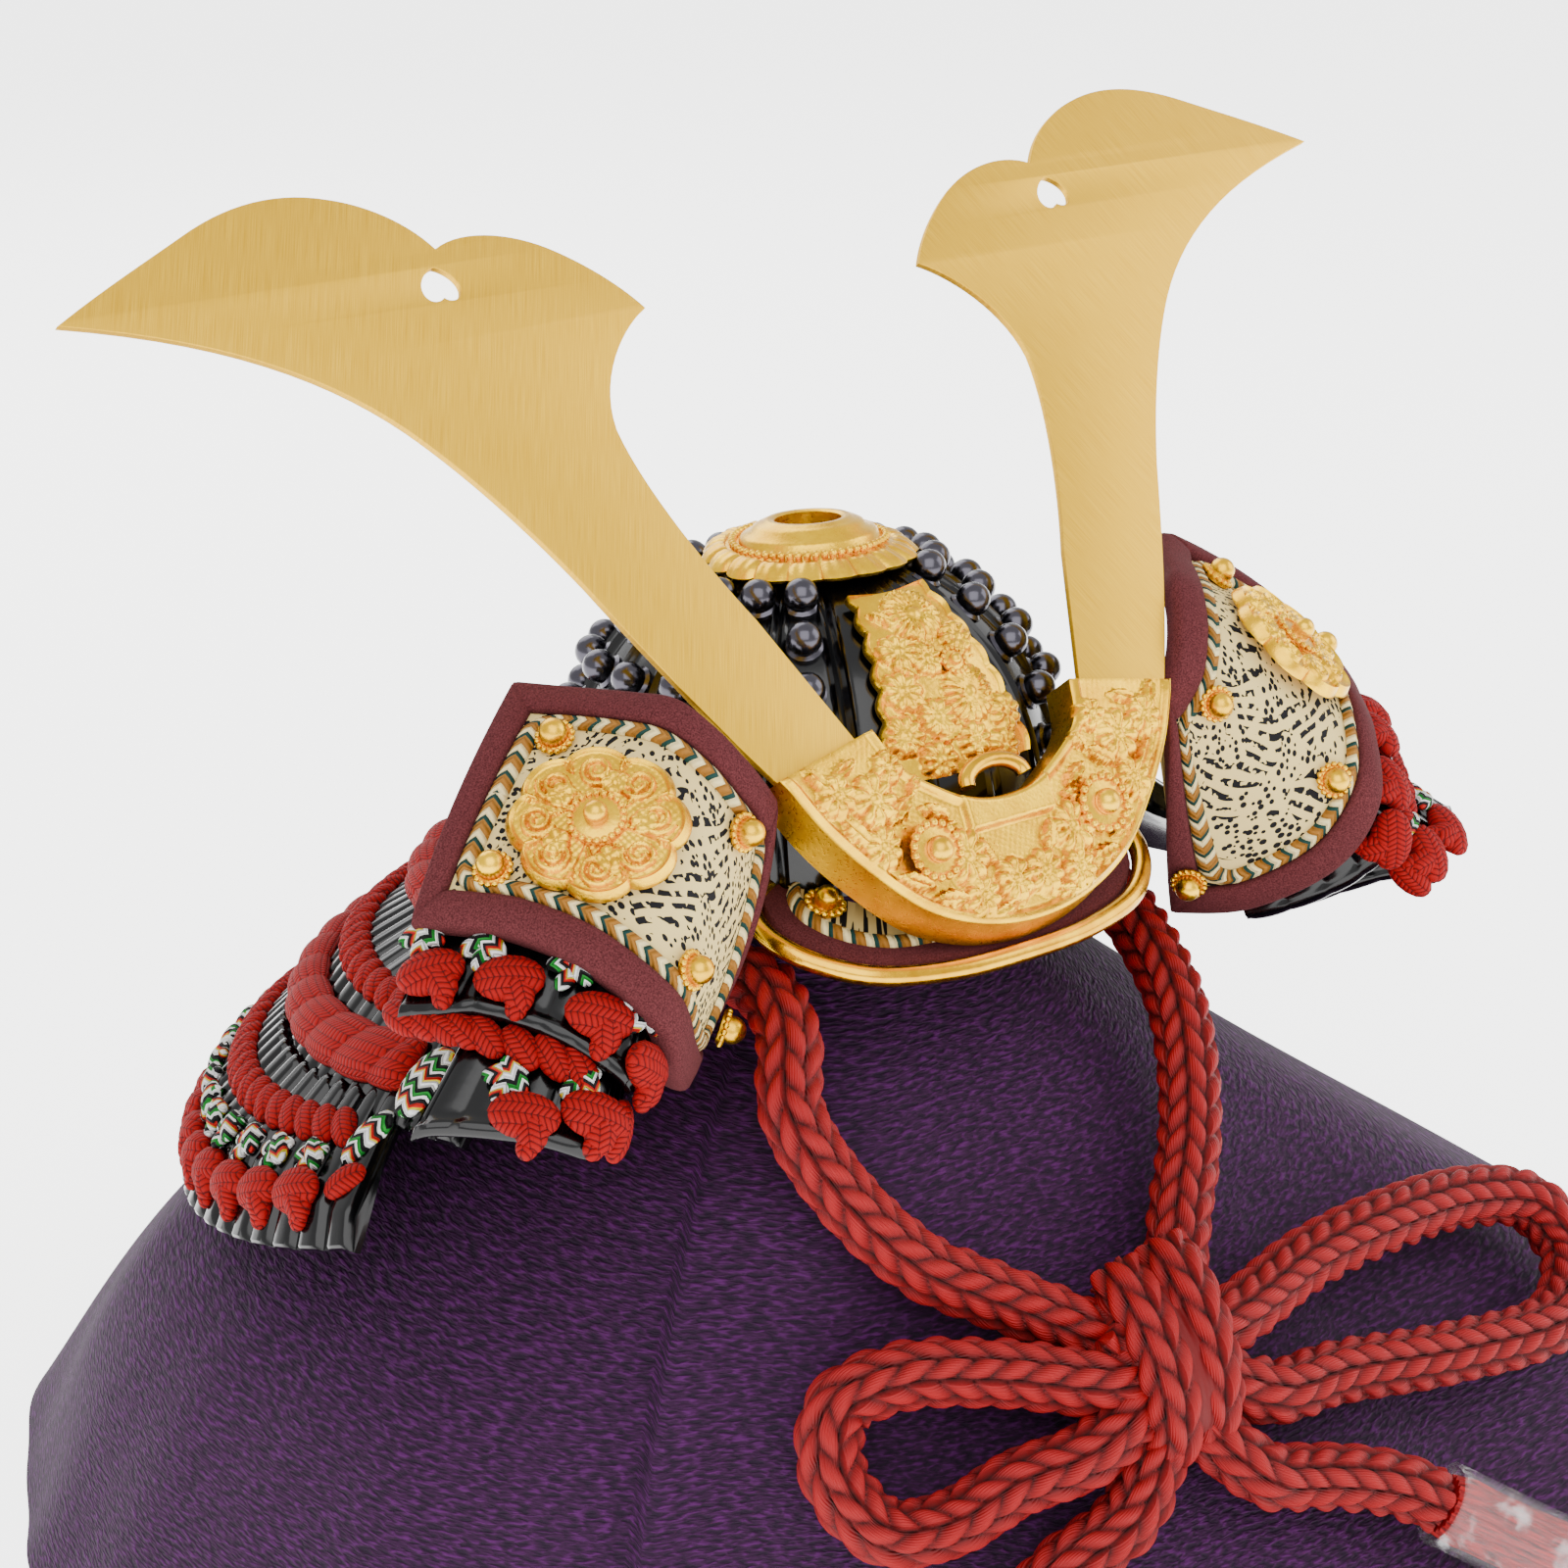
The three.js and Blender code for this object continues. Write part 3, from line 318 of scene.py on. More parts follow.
def own_uv(material):
    """The piece's own uv, which is written in millimetres."""
    return add(material, "UVMap", uv_map="UVMap").outputs["UV"]


def maths(material, operation, a, b=0.0, c=0.0):
    """One Math node."""
    return add(material, "Math", {0: a, 1: b, 2: c}, operation=operation).outputs[0]

# %% [markdown]
# ## Camera, light and floor
# The camera stands to the helmet's right front, a little above it, with a long lens so that the horns
# stay upright.  Big soft lamps in a pale room give gold something bright to mirror.

# %% Camera, lamps and floor
LENS, SENSOR = 78.75, 36.0
EYE = [-307.0, -404.3, 147.4]
EYE_AZIMUTH, EYE_ELEVATION = -36.8, 20.65


def place_camera():
    """A long lens in the display frame, turned by its azimuth and looking down by its elevation."""
    lens = bpy.data.cameras.new("camera")
    lens.lens = LENS
    lens.sensor_width = SENSOR
    lens.clip_start = 0.01
    eye = bpy.data.objects.new("camera", lens)
    eye.location = display(EYE) * MM
    eye.rotation_euler = (math.radians(90 - EYE_ELEVATION), 0, math.radians(EYE_AZIMUTH))
    bpy.context.scene.collection.objects.link(eye)
    bpy.context.scene.camera = eye


def place_lamp(name, place, aim, size, power):
    """A square soft lamp at a place in metres, facing its aim."""
    lamp = bpy.data.lights.new(name, "AREA")
    lamp.size = size
    lamp.energy = power
    holder = bpy.data.objects.new(name, lamp)
    holder.location = place
    direction = np.array(aim) - np.array(place)
    turn = math.atan2(direction[0], -direction[1])
    fall = math.atan2(math.hypot(direction[0], direction[1]), -direction[2])
    holder.rotation_euler = (fall, 0, turn + math.pi)
    bpy.context.scene.collection.objects.link(holder)


LAMPS = {  # place and aim in metres, side in metres, power in watts
    "key_lamp": ((-0.55, -0.75, 0.95), (0, 0, 0.1), 1.3, 16.0),
    "fill_lamp": ((0.9, -0.5, 0.6), (0, 0, 0.1), 0.8, 7.0),
    "back_lamp": ((0.1, 0.9, 0.8), (0, 0, 0.15), 0.9, 8.0),
}
ROOM_LIGHT, FLOOR_GLOW, FLOOR_HALF = 1.25, 2.6, 6

place_camera()
for name, (place, aim, size, power) in LAMPS.items():
    place_lamp(name, place, aim, size, power)

room = bpy.data.worlds.new("pale_room")
room.use_nodes = True
room.node_tree.nodes["Background"].inputs["Color"].default_value = (1.0, 1.0, 1.0, 1.0)
room.node_tree.nodes["Background"].inputs["Strength"].default_value = ROOM_LIGHT
bpy.context.scene.world = room

# Uncoated white paper: dull, with no grain at this distance.  A little glow keeps it pale up close.
paper, paper_shader = finish("pale_paper", "#f8f8f7", 0.9, Emission_Strength=FLOOR_GLOW)
paper_shader.inputs["Emission Color"].default_value = linear("#ffffff")
floor_mesh = bpy.data.meshes.new("floor")
floor_corners = [(FLOOR_HALF * i, FLOOR_HALF * j, 0) for i, j in ((-1, -1), (1, -1), (1, 1), (-1, 1))]
floor_mesh.from_pydata(floor_corners, [], [(0, 1, 2, 3)])
floor_mesh.materials.append(paper)
floor = bpy.data.objects.new("floor", floor_mesh)
bpy.context.scene.collection.objects.link(floor)
print("lamps:", list(LAMPS), "eye:", EYE)

# %% [markdown]
# ## The silk cord
# A real chin cord is a round braid of eight strands of silk.  A plain tube with a picture of a braid
# would look flat, so the tube's own surface is pushed in and out: eight columns of slanted stitches
# that lean one way and then the other, as the strands do.

# %% Cord finish and braid
def silk(name, colour, deep, bright):
    """Dyed silk braid with a soft sheen, and painted light from the braid's relief: a painted highlight
    on the strands' backs and painted shade where they dive.  Its filaments are too fine to show, so
    they are drawn as threads about 0.35 mm apart."""
    material, shader = finish(name, colour, 0.6, Specular_IOR_Level=0.25)
    fibre = add(material, "TexWave", {"Vector": own_uv(material), "Scale": 0.9, "Distortion": 1.6,
                                      "Detail": 2.0, "Detail Scale": 1.2}, bands_direction="X").outputs["Fac"]
    # The braid's relief, kept as a colour attribute, sets painted shade in the hollows and a painted
    # highlight on the ridges.
    depth = add(material, "Attribute", attribute_name="painted_shade").outputs["Fac"]
    colours = ramp(material, depth, (0.1, deep), (0.6, colour), (1.0, bright))
    link(material, colours, shader.inputs["Base Color"])
    bumped(material, shader, fibre, 0.14, 0.7)
    return material


red_silk = silk("braided_red_silk", "#700003", "#160001", "#8a0106")


def braid_skin(name, route, radius, material, columns=8, pitch=5.0, steps_per_mm=2.0):
    """A tube round a route: r = radius - depth + depth * across * along, where across is the round of
    one column of stitches and along is the round of one stitch, slanted to and fro from column to
    column.  Returns the piece and its length."""
    per_column, deep, slant = 6, 1.7, 0.75
    _, length = smooth_path(route, 60)
    count = int(length * steps_per_mm)
    path, length = smooth_path(route, count)
    _, side, up = carried(path)
    turn = np.linspace(0, columns, columns * per_column + 1)[None, :]
    run = np.linspace(0, length, count)[:, None]
    within = turn % 1.0
    lean = np.where(np.floor(turn) % 2 == 0, within - 0.5, 0.5 - within)
    stitch = (run / pitch + lean * slant + 0.5 * (np.floor(turn) % 2)) % 1.0
    across = np.sqrt(np.clip(1 - (2 * within - 1) ** 2, 0, 1))
    along = np.clip(np.sin(np.pi * stitch), 0, 1) ** 0.7
    relief = (0.3 + 0.7 * across) * (0.15 + 0.85 * along)
    q = turn * 2 * np.pi / columns
    reach = (radius - deep * (1 - relief))[..., None]
    ring = side[:, None] * np.cos(q)[..., None] + up[:, None] * np.sin(q)[..., None]
    points = path[:, None] + reach * ring
    uv = np.stack([within * 3.7 + 0 * run, run * 0.25 + lean * 1.3], -1)
    uv, relief = end_rows(uv), end_rows(relief)
    points = display(capped(points))
    # The relief also goes to the silk as painted shade: darker in the braid's hollows, lighter on its ridges.
    depth = np.repeat(relief.reshape(-1, 1), 3, 1)
    piece = make_object(name, points.reshape(-1, 3), grid_faces(*points.shape[:2]), material,
                        uv.reshape(-1, 2), depth, crease=80)
    return piece, length


# %% The routes of the cord
CORD_RADIUS = 5.1
# Each route is a row of points in the display frame, in millimetres, and starts in the knot.
CORD_NECK = [
    [-10.5, -84, -101.5], [-20.5, -77, -95.6], [-26, -73.8, -92.6], [-32, -70, -89], [-39.4, -62, -79.6],
    [-42.6, -53, -68.5], [-37.6, -45, -60], [-34.6, -33, -57], [-39.4, -19, -58], [-47, 2, -64],
    [-42, 24, -66], [-26, 42, -67], [0, 49, -67], [26, 42, -67], [42, 24, -66], [47, 2, -64],
    [45.5, -16, -63], [41, -32, -66], [34, -50, -72], [27, -61, -79], [20.5, -68.5, -86],
    [13.5, -74.5, -91.5], [5.5, -82, -98.5],
]
CORD_LOOP_LEFT = [
    [-6.5, -90, -105.5], [-15, -89.3, -104.6], [-29, -82.5, -101.4], [-42, -76.8, -100.2],
    [-50.5, -74, -103.5], [-53.5, -77, -111.5], [-49.5, -83.5, -119], [-41, -87.5, -119],
    [-31, -90, -115], [-20.5, -93.2, -112.6], [-9.5, -92, -109],
]
CORD_LOOP_RIGHT = [
    [2.5, -89, -104], [11, -88.5, -103.7], [19, -86.5, -103.5], [30, -83.5, -103], [49, -81, -103.4],
    [73, -78.5, -107], [86, -80.5, -111.5], [88, -87, -118], [77, -95, -122.5], [53, -96, -120],
    [27, -94.5, -115.5], [14, -95.5, -113.5], [5, -93, -109.5],
]
CORD_TAIL_LEFT = [
    [2, -88, -103], [-7, -94, -113], [-15.6, -97.6, -121.5], [-20, -97.6, -124], [-26, -96.6, -126.5],
    [-33.5, -97, -130.5], [-39, -99.5, -135.5], [-42, -103.5, -141.5], [-44.5, -110, -147], [-46, -118, -150],
]
CORD_TAIL_RIGHT = [
    [-13, -85.5, -100], [-3, -93, -111], [7, -101.5, -122], [13, -102.4, -124.2], [19, -104, -125.6],
    [28.5, -107, -129], [34.5, -110, -132.5],
]
KNOT_CENTRE = np.array([-2.5, -88.5, -104.5])


def knot_wraps():
    """Two turns of the cord laid side by side over the front of the knot, each a bent arc."""
    front = unit(np.array([-0.1, -0.82, 0.56]))
    down = unit(np.array([0.12, -0.5, -0.8]))
    down = unit(down - front * (down @ front))
    across = np.cross(down, front)
    reach, rise, sunk = 12.5, 7.5, 2.5
    arcs = []
    for shift, slope in ((-4.1, 0.5), (3.9, 0.42)):
        t = np.linspace(-1.25, 1.25, 9)[:, None]
        middle = KNOT_CENTRE + across * shift
        arcs.append(middle + down * (reach * np.sin(t)) + across * (slope * 5 * t)
                    + front * (rise * np.cos(t) - sunk))
    return arcs


def lay_cord(name, node, route, marks):
    """Braids a cord along its route, hides the solid it stands in for and prints its length."""
    cord, length = braid_skin(name, route, CORD_RADIUS, red_silk)
    dress(cord, "red_cord", node)
    [tuple(p) for p in display(smooth_path(route, marks)[0]) * MM]
    print(name, "length", round(length), "mm")


KNOT_CORE = (10.5, 8.5, 13.5)  # half sizes of the ball that fills the knot
CORE_LEAN, CORE_SHADE_LEVEL = -0.75, 0.4  # its turn in radians; its painted shade: a darker place between the silk's deep and bright, as the core lies in shade inside the knot
WRAP_RADIUS = CORD_RADIUS * 1.02
knot_parts = [dress(braid_skin(f"knot_wrap_{number}", arc, WRAP_RADIUS, red_silk)[0], "red_cord")
              for number, arc in enumerate(knot_wraps(), 1)]
core_points, core_faces = ball(28, 18, KNOT_CORE)
# The core is coloured with even painted shade, as it lies in shade inside the knot.
core = make_object("knot_core", display(turn_x(core_points, CORE_LEAN) + KNOT_CENTRE), core_faces, red_silk,
                   core_points[:, :2] * 0.3, np.full((len(core_points), 3), CORE_SHADE_LEVEL))
knot_parts.append(dress(core, "red_cord", "cord_knot"))
lay_cord("silk_neck_run", "cord_neck_run", CORD_NECK, 40)
lay_cord("silk_loop_left", "cord_loop_left", CORD_LOOP_LEFT, 40)
lay_cord("silk_loop_right", "cord_loop_right", CORD_LOOP_RIGHT, 40)

# %% [markdown]
# ### The tassels
# Each tail ends in a tassel that is still in the clear sleeve it was sold in.  The tassel is a bundle
# of fine threads: a lathe shape whose radius goes in and out round it.

# %% Tassels in their sleeves
# Thin polypropylene film: almost nothing but its gloss, with painted reflections as a few whitish streaks
# along the roll.
clear_film, film_shader = finish("clear_plastic_film", "#fbfbfb", 0.08, IOR=1.46, Alpha=0.05)
film_way = add(clear_film, "Mapping", {"Vector": object_place(clear_film), "Scale": (160.0, 420.0, 160.0)})
painted_reflection_streaks = add(clear_film, "TexNoise", {"Vector": film_way.outputs["Vector"], "Scale": 1.0, "Detail": 2.0})
# The streaks are painted reflections: the film is made less clear, and so whiter, along them.
film_alpha = add(clear_film, "MapRange", {"Value": painted_reflection_streaks.outputs["Fac"], "From Min": 0.55, "From Max": 0.72,
                                          "To Min": 0.04, "To Max": 0.3})
link(clear_film, film_alpha.outputs["Result"], film_shader.inputs["Alpha"])
# Loose silk threads: each a little lighter or darker than the next, in tufts of about 0.4 mm.
thread, thread_shader = finish("tassel_threads", "#8e0209", 0.6, Specular_IOR_Level=0.25)
strand_wave = add(thread, "TexNoise", {"Vector": own_uv(thread), "Scale": 2.2, "Detail": 3.0})
link(thread, ramp(thread, strand_wave.outputs["Fac"], (0.3, "#380103"), (0.7, "#a8050d")),
     thread_shader.inputs["Base Color"])
bumped(thread, thread_shader, strand_wave.outputs["Fac"], 0.3)

TASSEL_LENGTH, SLEEVE_LENGTH, SLEEVE_IN, SLEEVE_OUT = 36, 33, 5.9, 6.5
TASSEL_GAP = 1.05  # from the tail's last point to the tassel's first


def tassel(name, end, down):
    """A bundle along down from end: r = profile(z) * (1 + 0.055 cos 21q + 0.03 cos 34q), and a rolled
    film round it.  Returns the two pieces."""
    down = unit(np.asarray(down, float))
    start = np.asarray(end, float) + down * TASSEL_GAP
    side = unit(np.cross(down, [0.3, 0.2, 1.0]))
    turn_to = np.stack([side, np.cross(down, side), down], 1)
    z = np.concatenate([[0, 0], np.linspace(0.4, TASSEL_LENGTH, 24), [TASSEL_LENGTH]])
    profile = np.interp(z, [0, 1, 3, 6, TASSEL_LENGTH], [4.4, 4.6, 5.0, 4.8, 5.4])
    profile[0] = profile[-1] = 0
    q = np.linspace(0, 2 * np.pi, 127)[None, :]
    r = profile[:, None] * (1 + 0.055 * np.cos(21 * q) + 0.03 * np.cos(34 * q + 0.2 * z[:, None]))
    points = np.stack([r * np.cos(q), r * np.sin(q), z[:, None] + 0 * q], -1)
    uv = np.stack([q * 6 + 0 * z[:, None], z[:, None] * 0.12 + 0 * q], -1)
    bundle = skin(f"threads_{name}", display(start + points @ turn_to.T), thread, uv)
    wall = [[SLEEVE_IN, 0], [SLEEVE_OUT, 0], [SLEEVE_OUT, SLEEVE_LENGTH], [SLEEVE_IN, SLEEVE_LENGTH],
            [SLEEVE_IN, 0]]
    roll, faces = turned(wall, 48)
    film = make_object(f"film_{name}", display(start + roll @ turn_to.T), faces, clear_film)
    return [dress(bundle, "red_cord", f"cord_tassel_{name}"),
            dress(film, "clear_plastic", f"tassel_sleeve_{name}")]


for name, route, down in (("right", CORD_TAIL_RIGHT, [0.72, -0.5, -0.48]),
                          ("left", CORD_TAIL_LEFT, [-0.14, -0.97, -0.2])):
    pieces = tassel(name, route[-1], down)
    lay_cord(f"silk_tail_{name}", f"cord_tail_{name}", route, 24)

# %% [markdown]
# ## Gold, lacquer and gunmetal
# The fittings are cast and gilt: bright on the high places, warmer in the hollows.  The horns are sheet
# brass, brushed along their length.  The bowl is black lacquer and its rivets are dark polished iron.

# %% Metal and lacquer finishes
def gilt(name, high, low, roughness, grain_mm):
    """Gilt metal: bright, with a fine grain left by the mould and clouds of warmer gold 4 to 5 mm
    across, where the gilding is thicker."""
    material, shader = finish(name, high, roughness, 1.0)
    place = object_place(material)
    cloud = add(material, "TexNoise", {"Vector": place, "Scale": 220.0, "Detail": 3.0})
    grain = add(material, "TexNoise", {"Vector": place, "Scale": 1 / (grain_mm * MM), "Detail": 4.0})
    colours = ramp(material, cloud.outputs["Fac"], (0.35, low), (0.62, high))
    link(material, colours, shader.inputs["Base Color"])
    rough = add(material, "MapRange", {"Value": grain.outputs["Fac"], "To Min": roughness - 0.08,
                                       "To Max": roughness + 0.14})
    link(material, rough.outputs["Result"], shader.inputs["Roughness"])
    bumped(material, shader, grain.outputs["Fac"], 0.06, 0.7)
    return material


cast_gold = gilt("gilt_casting", "#f0be06", "#d8a204", 0.27, 0.5)
wire_gold = gilt("polished_gilt_wire", "#e2ac08", "#cc9204", 0.2, 1.5)

# Sheet brass, brushed and gilt: hairlines along the horn stretch its highlights across them.  Real ones
# are about 0.02 mm apart; they are drawn 0.1 mm apart and 8 mm long so that they show.
brushed_gold, brushed_shader = finish("brushed_gilt_sheet", "#edc96f", 0.36, 1.0, Anisotropic=0.35)
grain_way = add(brushed_gold, "Mapping", {"Vector": own_uv(brushed_gold), "Scale": (9.0, 0.12, 1.0)})
brush = add(brushed_gold, "TexNoise", {"Vector": grain_way.outputs["Vector"], "Scale": 1.0, "Detail": 3.0})
brush_rough = add(brushed_gold, "MapRange", {"Value": brush.outputs["Fac"], "To Min": 0.42, "To Max": 0.6})
link(brushed_gold, brush_rough.outputs["Result"], brushed_shader.inputs["Roughness"])
link(brushed_gold, ramp(brushed_gold, brush.outputs["Fac"], (0.3, "#cc9c14"), (0.7, "#e2b62c")),
     brushed_shader.inputs["Base Color"])
bumped(brushed_gold, brushed_shader, brush.outputs["Fac"], 0.03, 0.6)

# Black lacquer over iron or board: a deep gloss that wavers every 4 mm or so, where the coat ran.
black_lacquer, lacquer_shader = finish("black_lacquer", "#020203", 0.18, 0.0, Coat_Weight=0.15,
                                       Coat_Roughness=0.06, Specular_IOR_Level=0.28)
flow = add(black_lacquer, "TexNoise", {"Vector": object_place(black_lacquer), "Scale": 260.0, "Detail": 2.0})
bumped(black_lacquer, lacquer_shader, flow.outputs["Fac"], 0.12, 0.35)

# Polished dark iron: a clear but grey mirror, dulled in patches of about 1 mm.
gunmetal, gunmetal_shader = finish("polished_dark_iron", "#4b4950", 0.2, 1.0)
pits = add(gunmetal, "TexNoise", {"Vector": object_place(gunmetal), "Scale": 900.0, "Detail": 3.0})
pit_rough = add(gunmetal, "MapRange", {"Value": pits.outputs["Fac"], "To Min": 0.14, "To Max": 0.3})
link(gunmetal, pit_rough.outputs["Result"], gunmetal_shader.inputs["Roughness"])

# %% [markdown]
# ## The bowl
# The bowl is made of twenty plates.  Where two plates meet there is a thin double rib, and between the
# ribs a row of ball rivets climbs each plate.  The ribs are part of the bowl's skin: its radius grows a
# little close to each seam.

# %% The bowl's skin
BOWL_RADIUS, BOWL_Y, BOWL_Z, RIM_Z = 38.5, 3.0, -42.8, -50.0
BOWL_WALL, PLATES, COLUMNS_PER_PLATE = 1.5, 20, 22
RIB_TOP = 1.05  # what lies on the bowl clears its ribs by this
RIDGE_HEIGHT, RIDGE_OFF_SEAM, RIDGE_WIDTH = 0.75, 0.85, 0.42


def bowl_point(radius, polar, azimuth):
    """On a sphere: x = r sin p sin a, y = y0 - r sin p cos a, z = z0 + r cos p."""
    radius, polar, azimuth = np.broadcast_arrays(radius, polar, azimuth)
    ring = radius * np.sin(polar)
    return np.stack([ring * np.sin(azimuth), BOWL_Y - ring * np.cos(azimuth),
                     BOWL_Z + radius * np.cos(polar)], -1)


def bowl_skin():
    """r = R + a narrow hump h exp(-((|off| - apart) / width)^2) to each side of every seam; below the
    equator the wall drops straight to the rim and comes up again inside."""
    a = np.linspace(0, 2 * np.pi, PLATES * COLUMNS_PER_PLATE + 1)[None, :]
    p = np.radians(np.concatenate([[0.0], np.linspace(5, 90, 30)]))[:, None]
    pitch = 2 * np.pi / PLATES
    off = ((a / pitch) % 1.0 - 0.5) * pitch * BOWL_RADIUS * np.sin(p)
    fade = np.clip((p - 0.35) / 0.2, 0, 1)
    ridges = RIDGE_HEIGHT * np.exp(-((np.abs(off) - RIDGE_OFF_SEAM) / RIDGE_WIDTH) ** 2) * fade
    outer = bowl_point(BOWL_RADIUS + ridges, p, a)
    rim = outer[-1:].copy()
    rim[..., 2] = RIM_Z
    inner_p = np.radians(np.linspace(88, 0, 14))[:, None]
    inner = bowl_point(BOWL_RADIUS - BOWL_WALL, inner_p, a)
    inner_rim = inner[:1].copy()
    inner_rim[..., 2] = RIM_Z
    return np.concatenate([outer, rim, inner_rim, inner], 0)


bowl = skin("bowl_skin", helmet(bowl_skin()), black_lacquer)
dress(bowl, "black_lacquer", "bowl_plates_front", "bowl_plates_right", "bowl_plates_back",
      "bowl_plates_left")
RIVET_RADIUS, RIVET_RISE, RIVET_ROWS = 2.7, 1.9, 5


def rivets():
    """Balls with a small collar on every plate but the three that the front panel covers."""
    plate = np.arange(2, PLATES - 1)
    row = np.radians(31 + 12 * np.arange(RIVET_ROWS))
    azimuth, polar = [grid.ravel() for grid in np.meshgrid(plate * 2 * np.pi / PLATES, row)]
    places = bowl_point(BOWL_RADIUS, polar, azimuth)
    out = places - np.array([0, BOWL_Y, BOWL_Z])
    profile = [[0, -0.3], [2.9, -0.3], [2.9, 0.2], [2.5, 0.5], [2.3, 0.7]]
    profile += [[RIVET_RADIUS * math.cos(t), RIVET_RISE + RIVET_RADIUS * math.sin(t)]
                for t in np.linspace(-0.5, math.pi / 2, 9)]
    profile[-1][0] = 0
    points, faces = swarm(turned(profile, 16), places, basis(np.cross(out, [0, 0, 1.0]), out))
    return make_object("bowl_rivets", helmet(points), faces, gunmetal)


dress(rivets(), "black_lacquer")

# %% [markdown]
# ## The finial on the crown
# The finial is a stack of rings: scalloped petals that lie on the bowl, a ring of beads, and a smooth
# stepped collar round the hole.  Its lower rings follow the bowl, so their height is the larger of two
# numbers, their own and the bowl's.

# %% Petals, beads and collar
def bowl_top(x, y, lift=0.0):
    """The height of the ribbed bowl's skin over a point."""
    reach = BOWL_RADIUS + RIB_TOP
    return BOWL_Z + np.sqrt(np.clip(reach ** 2 - x**2 - (y - BOWL_Y) ** 2, 0, None)) + lift


def finial_skin():
    """A closed ring profile carried round the axis; petals push the rim out and up by |cos| of the turn."""
    q = np.linspace(0, 2 * np.pi, 361)[None, :]
    petals = np.abs(np.cos(9 * q)) ** 0.6
    veins = np.abs(np.cos(27 * q)) ** 2
    rows = [  # radius, lift over the bowl, least height, share of the petals, share of the veins
        (5.2, 0.0, -9.0, 0.0, 0.0), (14.6, 0.0, -9.5, 0.2, 0.0), (16.4, 0.5, -6.9, 1.0, 0.0),
        (16.9, 1.0, -6.4, 1.0, 0.1), (16.3, 1.7, -5.9, 0.9, 0.35), (15.2, 2.1, -5.3, 0.6, 0.5),
        (14.0, 2.1, -4.7, 0.3, 0.5), (13.2, 1.9, -4.3, 0.1, 0.3), (12.9, 1.5, -4.3, 0.0, 0.0),
        (10.9, 1.2, -3.4, 0.0, 0.0), (10.6, 1.2, -2.4, 0.0, 0.0), (10.2, 0.5, -2.0, 0.0, 0.0),
        (8.9, 0.0, -1.5, 0.0, 0.0), (8.5, 0.0, -0.9, 0.0, 0.0), (7.6, 0.0, -0.45, 0.0, 0.0),
        (6.9, 0.0, -0.3, 0.0, 0.0), (6.5, 0.0, 0.0, 0.0, 0.0), (5.6, 0.0, 0.0, 0.0, 0.0),
        (5.2, 0.0, -0.3, 0.0, 0.0), (5.2, 0.0, -9.0, 0.0, 0.0),
    ]
    rings = []
    for radius, lift, z, petal, vein in rows:
        reach = radius - 1.1 * petal * (1 - petals)
        x, y = reach * np.sin(q), -reach * np.cos(q)
        height = np.maximum(z, bowl_top(x, y, lift)) + vein * (0.9 * petals + 0.35 * veins - 0.6)
        rings.append(np.concatenate([x, y, height], 0).T)
    return np.stack(rings)


dress(skin("finial_rings", helmet(finial_skin()), cast_gold, crease=50), "cast_gold", "crown_finial")


def ring_of_beads(radius, count, size, height):
    """Small balls evenly round the axis, resting at a height."""
    q = np.arange(count) * 2 * np.pi / count
    x, y = radius * np.sin(q), -radius * np.cos(q)
    places = np.stack([x, y, np.maximum(height, bowl_top(x, y, 1.7))], -1)
    return swarm(ball(8, 6), places, np.broadcast_to(np.eye(3), (count, 3, 3)), np.full((count, 1), size))


bead_points, bead_faces = ring_of_beads(11.9, 56, 0.62, -3.5)
dress(make_object("finial_beads", helmet(bead_points), bead_faces, cast_gold), "cast_gold")

# %% [markdown]
# ## Relief on the castings
# The crest stand, the front panel and the round plaques carry cast chrysanthemums and leaves.  Relief is
# a height over a flat chart: each flower is a dome cut by the cosine of its turn, each leaf a long hump
# with a groove down its middle, and the ground between them is finely pebbled.

# %% Heights of flowers, leaves and scrolls
def flower(x, y, at, radius, petals=10, turn=0.0, height=1.0):
    """h = sqrt(1 - (d / edge)^4) (0.45 + 0.4 |cos(n q / 2)|^0.7), where the edge goes in and out with
    the petals, and a round button in the middle."""
    dx, dy = x - at[0], y - at[1]
    d = np.hypot(dx, dy) / radius
    q = np.arctan2(dy, dx) + turn
    petal = np.abs(np.cos(petals * q / 2))
    edge = 0.86 + 0.14 * petal
    body = np.clip(1 - (d / edge) ** 4, 0, 1) ** 0.5 * (0.45 + 0.4 * petal ** 0.7 * np.clip(d * 1.6, 0, 1))
    button = 0.75 * np.clip(1 - (d / 0.3) ** 2, 0, 1) ** 0.5
    return height * np.maximum(body, button)


def leaf(x, y, at, length, width, turn, height=0.8):
    """A long hump, pointed at both ends, with a groove along it and toothed sides."""
    c, s = math.cos(turn), math.sin(turn)
    along = ((x - at[0]) * c + (y - at[1]) * s) / (length / 2)
    across = (-(x - at[0]) * s + (y - at[1]) * c) / (width / 2)
    half = np.clip(1 - along**2, 0, 1) * (0.85 + 0.15 * np.cos(along * 14))
    d = np.abs(across) / np.maximum(half, 1e-3)
    return height * np.clip(1 - d**3, 0, 1) ** 0.5 * (0.5 + 0.5 * np.clip(np.abs(across) * 2.2, 0, 1))


def pebbles(x, y, pitch=1.4, height=0.16):
    """A quilt of shallow bumps, the product of two slanted cosines."""
    one, other = 2 * np.pi * (x + 0.4 * y) / pitch, 2 * np.pi * (y - 0.3 * x) / pitch
    return height * (0.5 + 0.5 * np.cos(one) * np.cos(other))


